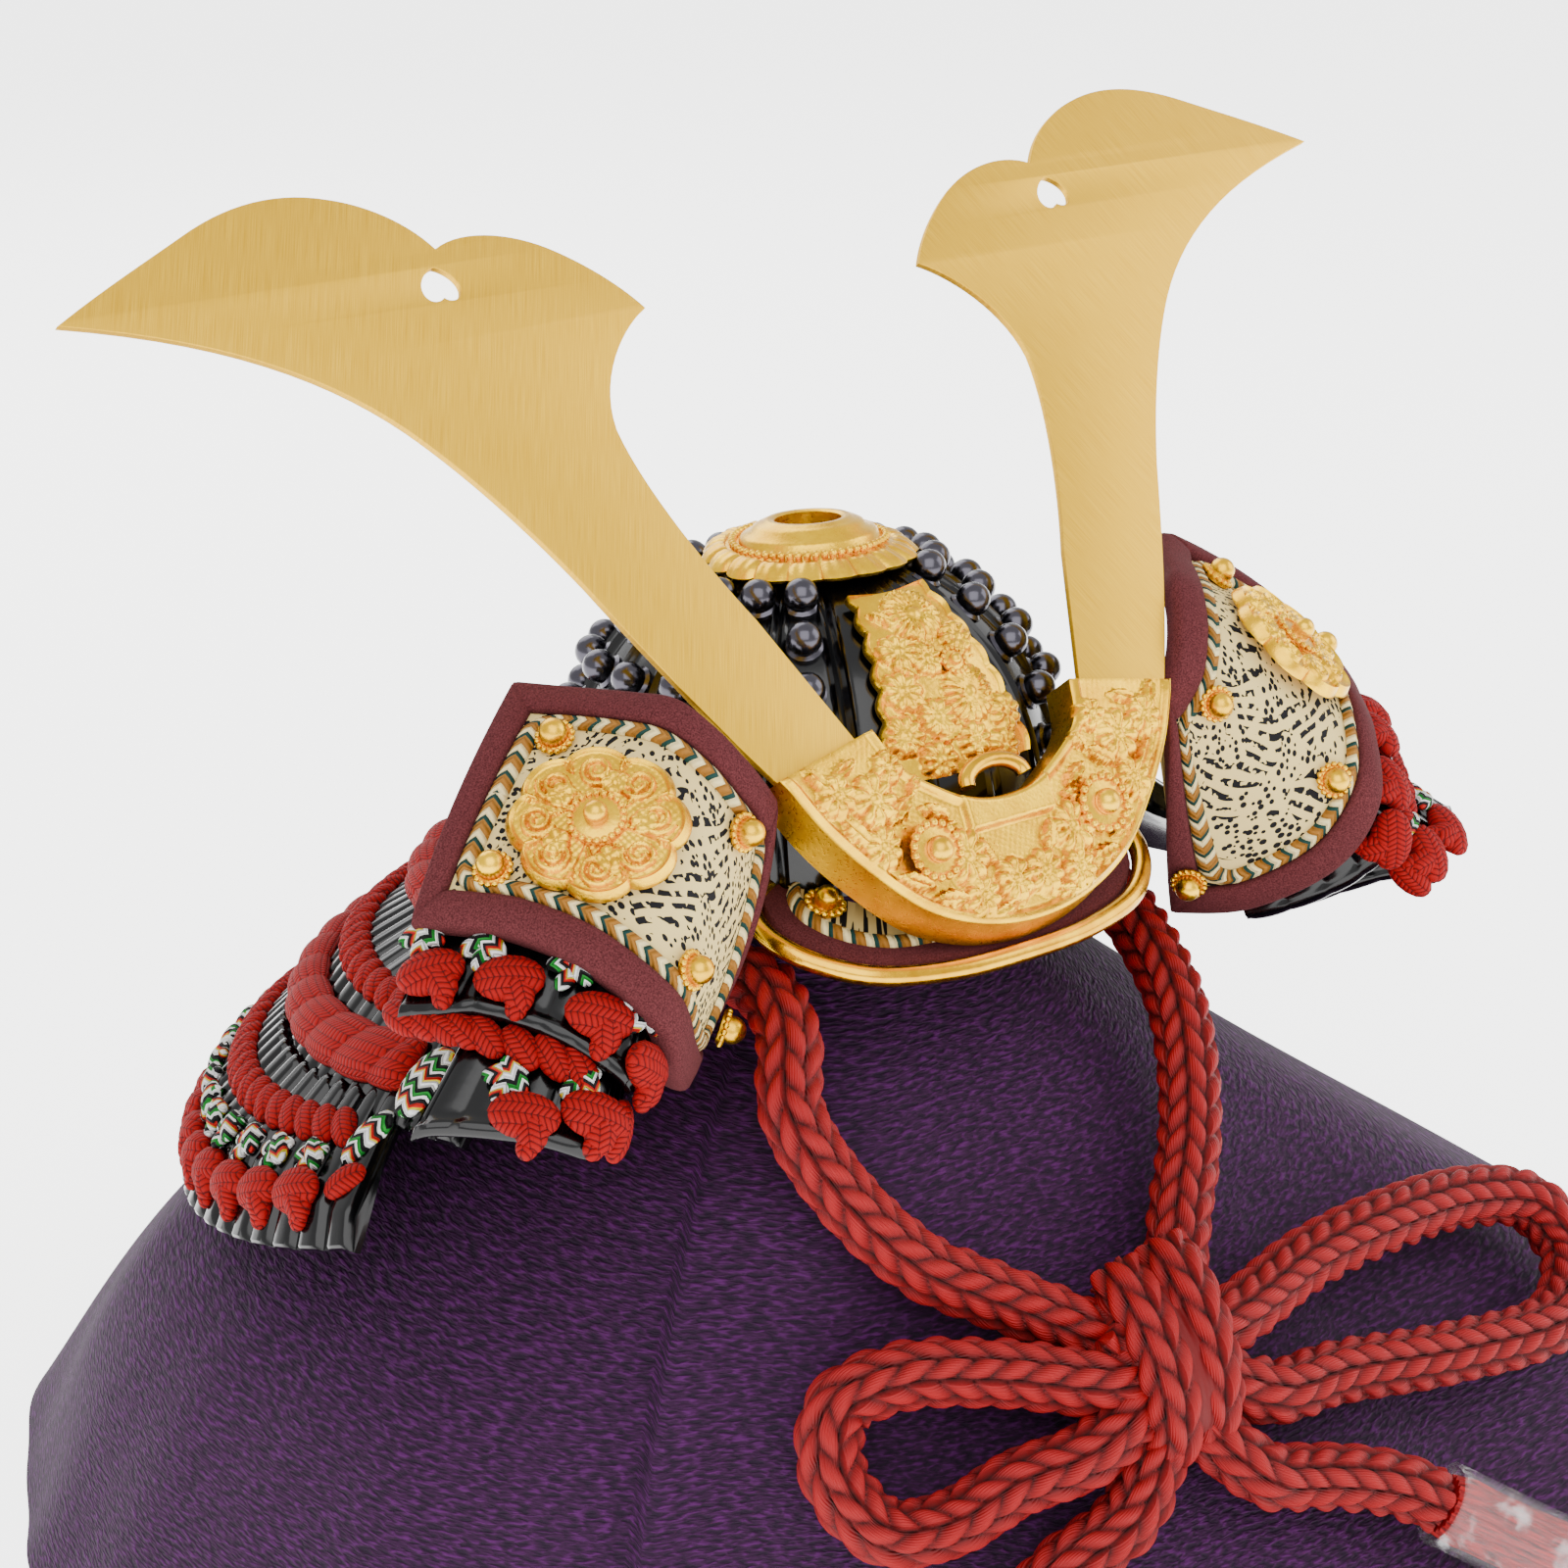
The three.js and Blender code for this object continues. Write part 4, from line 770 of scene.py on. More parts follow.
def scroll(x, y, at, radius, turns, hand, width=0.55, height=0.7):
    """A spiral ridge: its distance from the curve d = R (1 - q / turns) gives a rounded height."""
    dx, dy = (x - at[0]) * hand, y - at[1]
    q = (np.arctan2(dy, dx) / (2 * np.pi)) % 1.0
    d = np.hypot(dx, dy)
    gap = np.full_like(d, 9.0)
    for k in range(int(turns) + 1):
        r = radius * (1 - (q + k) / (turns + 0.6))
        gap = np.minimum(gap, np.where((r > 0.2) & (q + k < turns), np.abs(d - r), 9.0))
    return height * np.clip(1 - (gap / width) ** 2, 0, 1) ** 0.5


# %% The front panel
PANEL_TOP, PANEL_SPAN = 33.5, 43.5  # degrees from the crown
PANEL_HALF, PANEL_WIDENS, PANEL_SCALLOP = 6.4, 7.2, 0.9
PANEL_FLOWERS = [  # place, radius, petals
    ((0.6, 5.4), 5.0, 22), ((-5.2, 11.2), 3.2, 9), ((5.8, 11.0), 3.0, 8), ((-1.2, 13.2), 2.8, 10),
    ((-7.2, 17.4), 3.4, 9), ((3.6, 19.6), 4.8, 20), ((-3.2, 22.2), 3.2, 10), ((9.6, 24.2), 3.2, 8),
    ((-9.2, 24.0), 3.4, 10), ((2.0, 26.6), 3.0, 8), ((-4.8, 28.4), 3.2, 9), ((7.4, 29.0), 3.2, 9),
]
PANEL_LEAVES = 14


def front_panel_skin():
    """A strip over the bowl between two polar angles; its sides are scalloped and its face is relief."""
    t = np.linspace(0, 1, 110)[:, None]
    w = np.linspace(-1, 1, 81)[None, :]
    polar = np.radians(PANEL_TOP + PANEL_SPAN * t)
    length = (BOWL_RADIUS + 2) * np.radians(PANEL_SPAN)
    half = PANEL_HALF + PANEL_WIDENS * t + PANEL_SCALLOP * np.abs(np.cos(6.5 * np.pi * t))
    x, y = w * half, t * length + 0 * w
    relief = pebbles(x, y, 1.5, 0.04)
    for number, (at, radius, petals) in enumerate(PANEL_FLOWERS):
        relief = np.maximum(relief, flower(x, y, at, radius, petals, number * 0.7, 1.9))
    for number in range(PANEL_LEAVES):
        at = (math.sin(number * 2.4) * (4 + 0.28 * number), 1.5 + number * 1.8)
        relief = np.maximum(relief, leaf(x, y, at, 4.6, 2.0, number * 1.9, 1.4))
    rim = np.clip((np.abs(w) - 0.9) / 0.05, 0, 1) * np.clip((1 - np.abs(w)) / 0.03, 0, 1)
    top = 0.9 + np.maximum(relief, 0.7 * rim) * np.clip((1 - np.abs(w)) / 0.05, 0, 1) ** 0.5
    low = BOWL_RADIUS + RIB_TOP
    azimuth = w * half / (low * np.sin(polar))
    face = bowl_point(low + top, polar, azimuth)
    under = bowl_point(low + 0 * top, polar, azimuth)[:, ::-1]
    return np.concatenate([face, under, face[:, :1]], 1)


panel = skin("front_panel_relief", helmet(capped(front_panel_skin())), cast_gold, crease=55)
dress(panel, "cast_gold", "front_panel")

# %% [markdown]
# ## Horns and crest stand
# Each horn is one flat blade cut from sheet, so its outline is a closed chain of Bezier curves and its
# edges have a narrow bevel.  The stand below them is a thick crescent: a chart with one direction along
# the arc and one across it, with relief on its face and smooth sides.

# %% The two horns
def bezier(a, b, c, d, count=14):
    """A cubic curve from a to d: the Bernstein sum of its four points."""
    t = np.linspace(0, 1, count, endpoint=False)[:, None]
    a, b, c, d = (np.asarray(p, float) for p in (a, b, c, d))
    return (1 - t) ** 3 * a + 3 * (1 - t) ** 2 * t * b + 3 * (1 - t) * t**2 * c + t**3 * d


def chained(start, *curves):
    """Bezier curves joined end to end; a single point is a straight run to it."""
    made, here = [], start
    for curve in curves:
        if len(curve) == 3:
            made.append(bezier(here, *curve))
            here = curve[-1]
        else:
            made.append(np.asarray([here], float))
            here = curve[0]
    return np.vstack([*made, [here]])


HORN_OUTLINE = chained(
    (28.6, -52), [(31.6, -45)], [(36.4, -45)],
    [(43, -34), (49, -21), (54.1, -9.6)], [(59, 0.5), (65, 10.5), (71.5, 18.2)],
    [(80, 28), (93, 36), (115.9, 41.6)], [(108, 45.8), (100, 49.2), (93.5, 52.2)],
    [(85, 56.2), (77, 57.2), (69.5, 54.8)], [(64, 53.2), (58.6, 49.6), (55.9, 44.9)],
    [(51, 47.4), (43.5, 46), (38, 42.6)], [(33, 39.4), (28.4, 35), (25.8, 30.7)],
    [(31, 28.2), (38.4, 21), (38.9, 12.6)], [(38.6, 3), (33, -12), (29.2, -20)],
    [(21.2, -41.4)], [(22.2, -45)], [(19.4, -51)])
HEART_OUTLINE = chained(
    (57.4, 42), [(58.4, 42), (60.8, 40.4), (60.6, 38.4)], [(60.4, 36.6), (58.6, 36.4), (57.6, 37.2)],
    [(56.8, 36.2), (54.8, 36.4), (54.5, 38.2)], [(54.3, 40), (56.2, 41.6), (57.4, 42)])[:-1]
HORN_FACE, HORN_THICKNESS, HORN_BEVEL = 17.9, 1.2, 0.16
BRUSHED_ALONG = -24  # degrees from the crest's own up to the way the blade was brushed


def horn(side, hand):
    """The outline and its heart-shaped hole as a flat filled curve, given thickness and a bevel."""
    curve = bpy.data.curves.new(f"horn_outline_{side}", "CURVE")
    curve.dimensions = "2D"
    curve.fill_mode = "BOTH"
    curve.extrude = HORN_THICKNESS / 2 - HORN_BEVEL
    curve.bevel_depth = HORN_BEVEL
    curve.bevel_resolution = 2
    curve.offset = -HORN_BEVEL
    for outline in (HORN_OUTLINE, HEART_OUTLINE):
        spline = curve.splines.new("POLY")
        spline.points.add(len(outline) - 1)
        flat = np.c_[outline[:, 0] * hand, outline[:, 1], np.zeros(len(outline)), np.ones(len(outline))]
        spline.points.foreach_set("co", flat.ravel())
        spline.use_cyclic_u = True
    holder = bpy.data.objects.new("horn_outline", curve)
    bpy.context.scene.collection.objects.link(holder)
    bpy.context.view_layer.update()
    mesh = bpy.data.meshes.new_from_object(holder.evaluated_get(bpy.context.evaluated_depsgraph_get()))
    bpy.data.objects.remove(holder)
    points = np.empty(len(mesh.vertices) * 3)
    mesh.vertices.foreach_get("co", points)
    points = points.reshape(-1, 3)
    flat = points[:, :2].copy()
    points[:, 2] += HORN_FACE - HORN_THICKNESS / 2
    mesh.vertices.foreach_set("co", (crest(points) * MM).ravel())
    mesh.name = f"horn_blade_{side}"
    c, s = math.cos(math.radians(BRUSHED_ALONG * hand)), math.sin(math.radians(BRUSHED_ALONG * hand))
    turned_uv = np.stack([flat[:, 0] * c - flat[:, 1] * s, flat[:, 0] * s + flat[:, 1] * c], 1)
    corners = np.empty(len(mesh.loops), int)
    mesh.loops.foreach_get("vertex_index", corners)
    while mesh.uv_layers:
        mesh.uv_layers.remove(mesh.uv_layers[0])
    mesh.uv_layers.new(name="UVMap").data.foreach_set("uv", turned_uv[corners].astype(np.float32).ravel())
    work = bmesh.new()
    work.from_mesh(mesh)
    bmesh.ops.remove_doubles(work, verts=work.verts, dist=MERGE / 2)
    bmesh.ops.recalc_face_normals(work, faces=work.faces)
    work.to_mesh(mesh)
    work.free()
    mesh.shade_smooth()
    mesh.set_sharp_from_angle(angle=math.radians(30))
    mesh.materials.clear()
    mesh.materials.append(brushed_gold)
    blade = bpy.data.objects.new(f"horn_blade_{side}", mesh)
    bpy.context.scene.collection.objects.link(blade)
    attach(blade, "root")
    dress(blade, "brushed_gold", f"horn_{side}")


horn("right", 1)
horn("left", -1)

# %% The crest stand
CREST_FACE, CREST_DEPTH, LEAN_FROM, LEAN_BACK = 20.0, 7.5, -46.0, 0.2
CREST_LIP, CREST_RELIEF, STRAP_HALF, STRAP_LOW = 1.0, 1.7, 8.6, -58.6
CREST_OUTER = [(37.2, -44.2), (32.6, -52.6), (26.7, -60), (19, -67.2), (10, -71.2), (0, -72.6)]
CREST_INNER = [(18.8, -40.2), (16.4, -46.6), (11.4, -50.6), (6, -53.4), (0, -54.3)]
CREST_FLOWERS = [  # place, radius, petals, turn
    ((23.2, -50.4), 4.2, 9, 0.2), ((29.2, -48.6), 3.3, 8, 0.9), ((23.8, -57.2), 3.4, 9, 0.5),
    ((10.2, -61.6), 4.3, 10, 0.3), ((9.2, -67.6), 3.2, 8, 1.1), ((2.8, -66.6), 3.6, 9, 0.4),
    ((19.4, -46.4), 2.7, 7, 0.1),
]
CREST_LEAVES = [  # place, length, width, turn
    ((27.4, -54.2), 6.5, 3.0, 0.9), ((19.0, -52.6), 6.0, 2.8, -0.6), ((19.6, -63.0), 6.2, 3.0, 0.5),
    ((14.6, -66.6), 6.4, 3.0, 0.2), ((5.6, -61.8), 5.4, 2.6, 1.2), ((31.6, -45.6), 5.4, 2.4, 1.0),
    ((26.6, -45.0), 5.2, 2.4, -0.4), ((13.4, -54.2), 5.4, 2.6, 0.5), ((5.4, -70.0), 5.6, 2.2, -0.2),
    ((15.6, -49.6), 4.4, 2.0, -1.0), ((12.0, -57.0), 4.4, 2.0, -0.3),
]


def both_sides(half, count):
    """A smooth line through points on the +X side and their mirror images, evenly spaced."""
    half = np.asarray(half, float)
    full = np.vstack([half, (half[:-1] * [-1, 1])[::-1]])
    line, _ = smooth_path(np.c_[full, np.zeros(len(full))], count)
    return line[:, :2]


def crest_relief(x, y):
    """Seven flowers and eleven leaves on each side, none on the plain strap in the middle."""
    relief = pebbles(x, y, 1.3, 0.03)
    ax = np.abs(x)
    for at, radius, petals, turn in CREST_FLOWERS:
        relief = np.maximum(relief, flower(ax, y, at, radius, petals, turn, 1.35))
    for at, length, width, turn in CREST_LEAVES:
        relief = np.maximum(relief, leaf(ax, y, at, length, width, turn, 1.0))
    strap = np.clip((STRAP_HALF - ax) / 0.8, 0, 1) * np.clip((y - STRAP_LOW) / 0.6, 0, 1)
    return relief * (1 - strap) + 0.75 * strap


def crest_skin():
    """Rings across the crescent: up its inner side, over the face with its relief, down the outer side."""
    along, across = 260, 64
    inner, outer = both_sides(CREST_INNER, along), both_sides(CREST_OUTER, along)
    w = np.linspace(0, 1, across)[None, :, None]
    flat = inner[:, None] * (1 - w) + outer[:, None] * w
    x, y = flat[..., 0], flat[..., 1]
    shy = np.minimum(w[..., 0], 1 - w[..., 0]) * np.linalg.norm(outer - inner, axis=1)[:, None]
    ends = np.minimum(np.arange(along), np.arange(along)[::-1])[:, None] * 0.36
    edge = np.clip(np.minimum(shy, ends) / 0.8, 0, 1) ** 0.5
    rim = 0.55 * np.exp(-((shy - 0.9) / 0.5) ** 2)
    z = CREST_FACE - CREST_LIP + edge * (0.05 + np.maximum(crest_relief(x, y), rim) * CREST_RELIEF)
    face = np.stack([x, y, z], -1)
    back_z = CREST_FACE - CREST_DEPTH
    spread = (outer - inner) / np.linalg.norm(outer - inner, axis=1)[:, None]
    walls_out, walls_in = [], []
    for height in np.linspace(CREST_FACE - CREST_LIP, back_z, 6):
        flare = 1.6 * ((CREST_FACE - height) / CREST_DEPTH) ** 1.5 * 0.6
        walls_out.append(np.c_[outer + spread * flare, np.full(along, height)])
        walls_in.append(np.c_[inner, np.full(along, height)])
    points = np.concatenate([face, np.stack(walls_out, 1), np.stack(walls_in[::-1], 1), face[:, :1]], 1)
    points[..., 2] -= LEAN_BACK * np.clip(LEAN_FROM - points[..., 1], 0, None)
    return points


crescent = skin("crest_crescent", crest(capped(crest_skin())), cast_gold, crease=60)
dress(crescent, "cast_gold", "crest_stand")


def plain_tube(name, route, radius, material, count=60, around=20):
    """A round tube with closed ends along a smooth route."""
    path, _ = smooth_path(route, count)
    _, side, up = carried(path)
    q = np.linspace(0, 2 * np.pi, around + 1)[None, :, None]
    rings = path[:, None] + radius * (side[:, None] * np.cos(q) + up[:, None] * np.sin(q))
    return skin(name, capped(rings), material, crease=60)


half_turn = np.linspace(0, np.pi, 13)
loop_route = np.stack([5.4 * np.cos(half_turn), -51.8 + 3.2 * np.sin(half_turn), np.full(13, 16.9)], -1)
dress(plain_tube("crest_half_ring", crest(loop_route), 1.25, wire_gold), "gold_wire", "crest_loop")

# %% [markdown]
# ### Studs
# Every stud is the same little fitting: a collar with a ring of beads round it and a polished ball.  One
# shape is made once and copied to each place with its own directions.

# %% Beaded studs
def rosette(collar, ball_radius, height, beads=14):
    """A lathe profile with a collar and a ball, and a ring of beads at the collar's edge."""
    profile = [[0, 0], [collar - 0.4, 0], [collar - 0.3, 0.5], [collar * 0.78, 0.8],
               [ball_radius * 0.98, 0.9]]
    profile += [[ball_radius * math.cos(t), height + ball_radius * math.sin(t)]
                for t in np.linspace(-0.35, math.pi / 2, 8)]
    profile[-1][0] = 0
    points, faces = turned(profile, 24)
    q = np.arange(beads) * 2 * np.pi / beads
    size = collar * math.sin(math.pi / beads) * 0.92
    reach = collar - size * 0.7
    places = np.stack([reach * np.cos(q), reach * np.sin(q), np.full(beads, 0.75)], -1)
    upright = np.broadcast_to(np.eye(3), (beads, 3, 3))
    more, more_faces = swarm(ball(7, 5), places, upright, np.full((beads, 1), size))
    return np.vstack([points, more]), np.vstack([faces, more_faces + len(points)])


def stud_at(name, node, place, along, out, shape):
    """One stud as its own piece, standing in for its solid."""
    points, faces = swarm(shape, place[None], basis(along[None], out[None]))
    dress(make_object(name, points, faces, cast_gold), "cast_gold", node)


def direction(frame_of, vector):
    """A direction carried by one of the frames, without its offset."""
    return frame_of(np.asarray(vector, float)) - frame_of(np.zeros(3))


SIDES = (("left", -1), ("right", 1))
STAND_OFF = 0.35  # how far a stud's collar stands off the skin below it
CREST_STUD, VISOR_STUD = (16.0, -59.6), (24.0, 19.8)
crest_shape, visor_shape = rosette(4.5, 2.0, 1.5, 18), rosette(3.1, 1.75, 2.0)

for side, hand in SIDES:
    foot = CREST_FACE + LEAN_BACK * (CREST_STUD[1] - LEAN_FROM) + STAND_OFF
    place = crest(np.array([CREST_STUD[0] * hand, CREST_STUD[1], foot]))
    stud_at(f"crest_rosette_{side}", f"crest_stud_{side}", place,
            direction(crest, [1, 0, 0]), direction(crest, [0, -LEAN_BACK, 1]), crest_shape)
    place = visor(np.array([VISOR_STUD[0] * hand, VISOR_STUD[1], STAND_OFF]))
    stud_at(f"visor_rosette_{side}", f"visor_stud_{side}", place,
            direction(visor, [1, 0, 0]), direction(visor, [0, 0, 1]), visor_shape)

panel_spot = bowl_point(BOWL_RADIUS + 2.3, math.radians(54), math.radians(5))
spot_out = panel_spot - np.array([0, BOWL_Y, BOWL_Z])
points, faces = swarm(rosette(2.3, 1.0, 1.1, 14), helmet(panel_spot)[None],
                      basis(direction(helmet, [1, 0, 0])[None], direction(helmet, spot_out)[None]))
dress(make_object("panel_rosette", points, faces, cast_gold), "cast_gold")

# %% [markdown]
# ## Cloth, leather and lacing finishes
# Braids and knits are all one idea: a column of stitches leans one way, the next leans the other, so a
# line across them is a row of chevrons.  The phase of a chevron colours a striped braid, and its round
# gives a plain red knit its stitches.

# %% Chevrons, knits and leathers
def chevrons(material, place, width, pitch, lean):
    """The phase v / pitch + lean * |fold of u / width|, with its whole part taken off, and the fold."""
    apart = add(material, "SeparateXYZ", {0: place}).outputs
    fold = maths(material, "PINGPONG", apart["X"], width)
    along = maths(material, "MULTIPLY_ADD", fold, lean / width, maths(material, "DIVIDE", apart["Y"], pitch))
    return maths(material, "FRACT", along), fold


def rounded(material, phase):
    """The round of a strand: the sine of half a turn."""
    return maths(material, "SINE", maths(material, "MULTIPLY", phase, math.pi))


def braid_finish(name, stops, width, pitch, lean, strands, roughness=0.7):
    """Silk strands of several colours laid in chevrons, dull but crisp, each rounded by its bump; stops
    are (place, hex) and change at once."""
    material, shader = finish(name, stops[0][1], roughness, Specular_IOR_Level=0.2)
    phase, _ = chevrons(material, own_uv(material), width, pitch, lean)
    colour = ramp(material, phase, *stops)
    colour.node.color_ramp.interpolation = "CONSTANT"
    link(material, colour, shader.inputs["Base Color"])
    strand = maths(material, "FRACT", maths(material, "MULTIPLY", phase, strands))
    bumped(material, shader, rounded(material, strand), 0.35)
    return material


def knit_finish(name, colour, deep, width=1.5, pitch=0.85):
    """Knitted silk lacing: small slanted stitches, with painted shade where they meet, which give a matt rib.
    """
    material, shader = finish(name, colour, 0.75, Specular_IOR_Level=0.15)
    phase, fold = chevrons(material, own_uv(material), width, pitch, 0.9)
    stitch = rounded(material, phase)
    column = rounded(material, maths(material, "DIVIDE", fold, width))
    height = maths(material, "MULTIPLY", maths(material, "POWER", stitch, 0.5),
                   maths(material, "POWER", column, 0.3))
    # The stitch height also sets the colour: painted shade in the grooves where the stitches meet.
    link(material, ramp(material, height, (0.1, deep), (0.65, colour)), shader.inputs["Base Color"])
    bumped(material, shader, height, 0.3)
    return material


FLAP_BRAID_COLOURS = [(0.0, "#d9c68e"), (0.36, "#08302b"), (0.56, "#8c5c1c")]
FIVE_COLOURS = [(0.0, "#d6d6d4"), (0.24, "#060607"), (0.42, "#0c7420"), (0.56, "#d4d4d2"),
                (0.68, "#060607"), (0.82, "#a81008"), (0.93, "#b8a81c")]
red_knit = knit_finish("knitted_red_lacing", "#840000", "#280000")
flap_braid = braid_finish("cream_tan_green_braid", FLAP_BRAID_COLOURS, 1.2, 3.5, 0.33, 3)
mixed_braid = braid_finish("five_colour_braid", FIVE_COLOURS, 1.15, 4.6, 0.3, 6)

# %% Leather, crepe and cedar
# Suede: brushed skin with no gloss at all.  Its nap is too fine to show, so it is drawn as flecks of
# about 0.25 mm.
brown_leather, brown_shader = finish("brown_suede_leather", "#3c1714", 0.92, Specular_IOR_Level=0.1)
nap = add(brown_leather, "TexNoise", {"Vector": object_place(brown_leather), "Scale": 4200.0, "Detail": 3.0})
link(brown_leather, ramp(brown_leather, nap.outputs["Fac"], (0.3, "#351416"), (0.72, "#5e2c2f")),
     brown_shader.inputs["Base Color"])
bumped(brown_leather, brown_shader, nap.outputs["Fac"], 0.12, 0.6)

# Deerskin stencilled with smoke and lacquer: matt cream, with dashes about 1 mm wide that wander and
# break, and fields of dots about 1 mm apart.
printed_leather, printed_shader = finish("stencilled_deerskin", "#cfb878", 0.8, Specular_IOR_Level=0.2)
print_place = own_uv(printed_leather)
wander = add(printed_leather, "TexNoise", {"Vector": print_place, "Scale": 0.13, "Detail": 1.0})
dashes = add(printed_leather, "TexWave", {"Vector": print_place, "Scale": 0.24, "Distortion": 22.0,
                                          "Detail": 1.5, "Detail Scale": 0.24}, bands_direction="DIAGONAL")
breaks = add(printed_leather, "TexNoise", {"Vector": print_place, "Scale": 0.75, "Detail": 1.0})
dots = add(printed_leather, "TexVoronoi", {"Vector": print_place, "Scale": 0.95, "Randomness": 0.7})
dash = maths(printed_leather, "LESS_THAN", dashes.outputs["Fac"], 0.46)
unbroken = maths(printed_leather, "GREATER_THAN", breaks.outputs["Fac"], 0.48)
dash_ink = maths(printed_leather, "MULTIPLY", dash, unbroken)
dot_ink = maths(printed_leather, "LESS_THAN", dots.outputs["Distance"], 0.41)
where = maths(printed_leather, "GREATER_THAN", wander.outputs["Fac"], 0.52)
ink = add(printed_leather, "Mix", {"Factor": where, 2: dot_ink, 3: dash_ink}).outputs["Result"]
link(printed_leather, ramp(printed_leather, ink, (0.45, "#cfb878"), (0.55, "#0b0a0e")),
     printed_shader.inputs["Base Color"])
grain = add(printed_leather, "TexNoise", {"Vector": print_place, "Scale": 3.0, "Detail": 3.0})
bumped(printed_leather, printed_shader, grain.outputs["Fac"], 0.08, 0.5)

# Silk crepe: hard-twisted threads shrink into short ripples, here about 0.7 mm apart and 2 mm long, on a
#  cloth that stays dark and dull.  The ripples' crests carry a painted highlight and their troughs painted
#  shade.
crepe, crepe_shader = finish("purple_silk_crepe", "#2a0526", 0.8, Specular_IOR_Level=0.2)
crepe_way = add(crepe, "Mapping", {"Vector": own_uv(crepe), "Scale": (0.34, 1.0, 1.0)})
ripples = add(crepe, "TexNoise", {"Vector": crepe_way.outputs["Vector"], "Scale": 1.5, "Detail": 1.5,
                                  "Roughness": 0.5, "Distortion": 0.35}).outputs["Fac"]
# The ripples also set the colour: painted shade in their troughs and a painted highlight on their crests.
link(crepe, ramp(crepe, ripples, (0.36, "#150319"), (0.52, "#270529"), (0.7, "#400c46")),
     crepe_shader.inputs["Base Color"])
bumped(crepe, crepe_shader, ripples, 0.55, 1.0)

# Planed cedar: pale, dull, with year rings about 8 mm apart; hidden under the cloth.
wood, wood_shader = finish("planed_cedar", "#c9a877", 0.65)
rings = add(wood, "TexWave", {"Vector": object_place(wood), "Scale": 40.0, "Distortion": 2.5, "Detail": 2.0})
link(wood, ramp(wood, rings.outputs["Fac"], (0.2, "#b98f5c"), (0.8, "#d8bb8c")),
     wood_shader.inputs["Base Color"])

# %% [markdown]
# ## The cloth on its stand
# The crepe is a square laid over the stand, so it leaves the neck in soft folds and reaches further
# where a corner hangs.  Its reach is a table of folds at four levels, eased between folds; the fine
# grid adds small wrinkles that grow towards the hem.

# %% Stand and cloth
CLOTH_FOLDS = np.array([  # azimuth of a fold in degrees, then its reach at the four lowest levels
    [-145, 30, 65, 104, 138], [-115, 30, 68, 109, 131], [-75, 30, 66, 103, 122], [-37, 34, 68, 88, 104],
    [-5, 32, 59, 89, 127], [25, 32, 61, 94, 140], [55, 30, 61, 119, 190], [90, 30, 60, 103, 160],
    [140, 30, 63, 104, 150], [180, 30, 64, 104, 140], [215, 30, 65, 104, 138],
], float)
CLOTH_LEVELS = np.array([-9, -13, -40, -60, -85, -120, -165], float)
CLOTH_NECK = np.array([5.0, 13.5, 25.0])
FOLD_AT, FOLD_RISE, CREPE_THICKNESS = -52.5, 6.5, 0.45


def cloth_reach(azimuth):
    """The reach at each level for each azimuth, eased with half a cosine from fold to fold."""
    a = (azimuth + 145) % 360 - 145
    i = np.clip(np.searchsorted(CLOTH_FOLDS[:, 0], a, side="right") - 1, 0, len(CLOTH_FOLDS) - 2)
    here, after = CLOTH_FOLDS[i], CLOTH_FOLDS[i + 1]
    ease = (1 - np.cos(np.pi * (a - here[:, 0]) / (after[:, 0] - here[:, 0]))) / 2
    lower = here[:, 1:] * (1 - ease[:, None]) + after[:, 1:] * ease[:, None]
    upper = CLOTH_NECK[None].repeat(len(a), 0)
    return np.concatenate([upper, lower], 1)


def through(levels, values, want):
    """A smooth curve through rows of values (count, levels) at wanted levels: cubic Hermite steps."""
    rise = np.diff(values, axis=1) / np.diff(levels)[None]
    slope = np.concatenate([rise[:, :1], 2 * rise[:, 1:] * rise[:, :-1] / (rise[:, 1:] + rise[:, :-1] + 1e-9),
                            rise[:, -1:]], 1)
    i = np.clip(np.searchsorted(-levels, -want, side="right") - 1, 0, len(levels) - 2)
    gap = (levels[i + 1] - levels[i])[None]
    t = ((want - levels[i]) / gap[0])[None]
    return hermite(t, values[:, i], gap * slope[:, i], values[:, i + 1], gap * slope[:, i + 1])


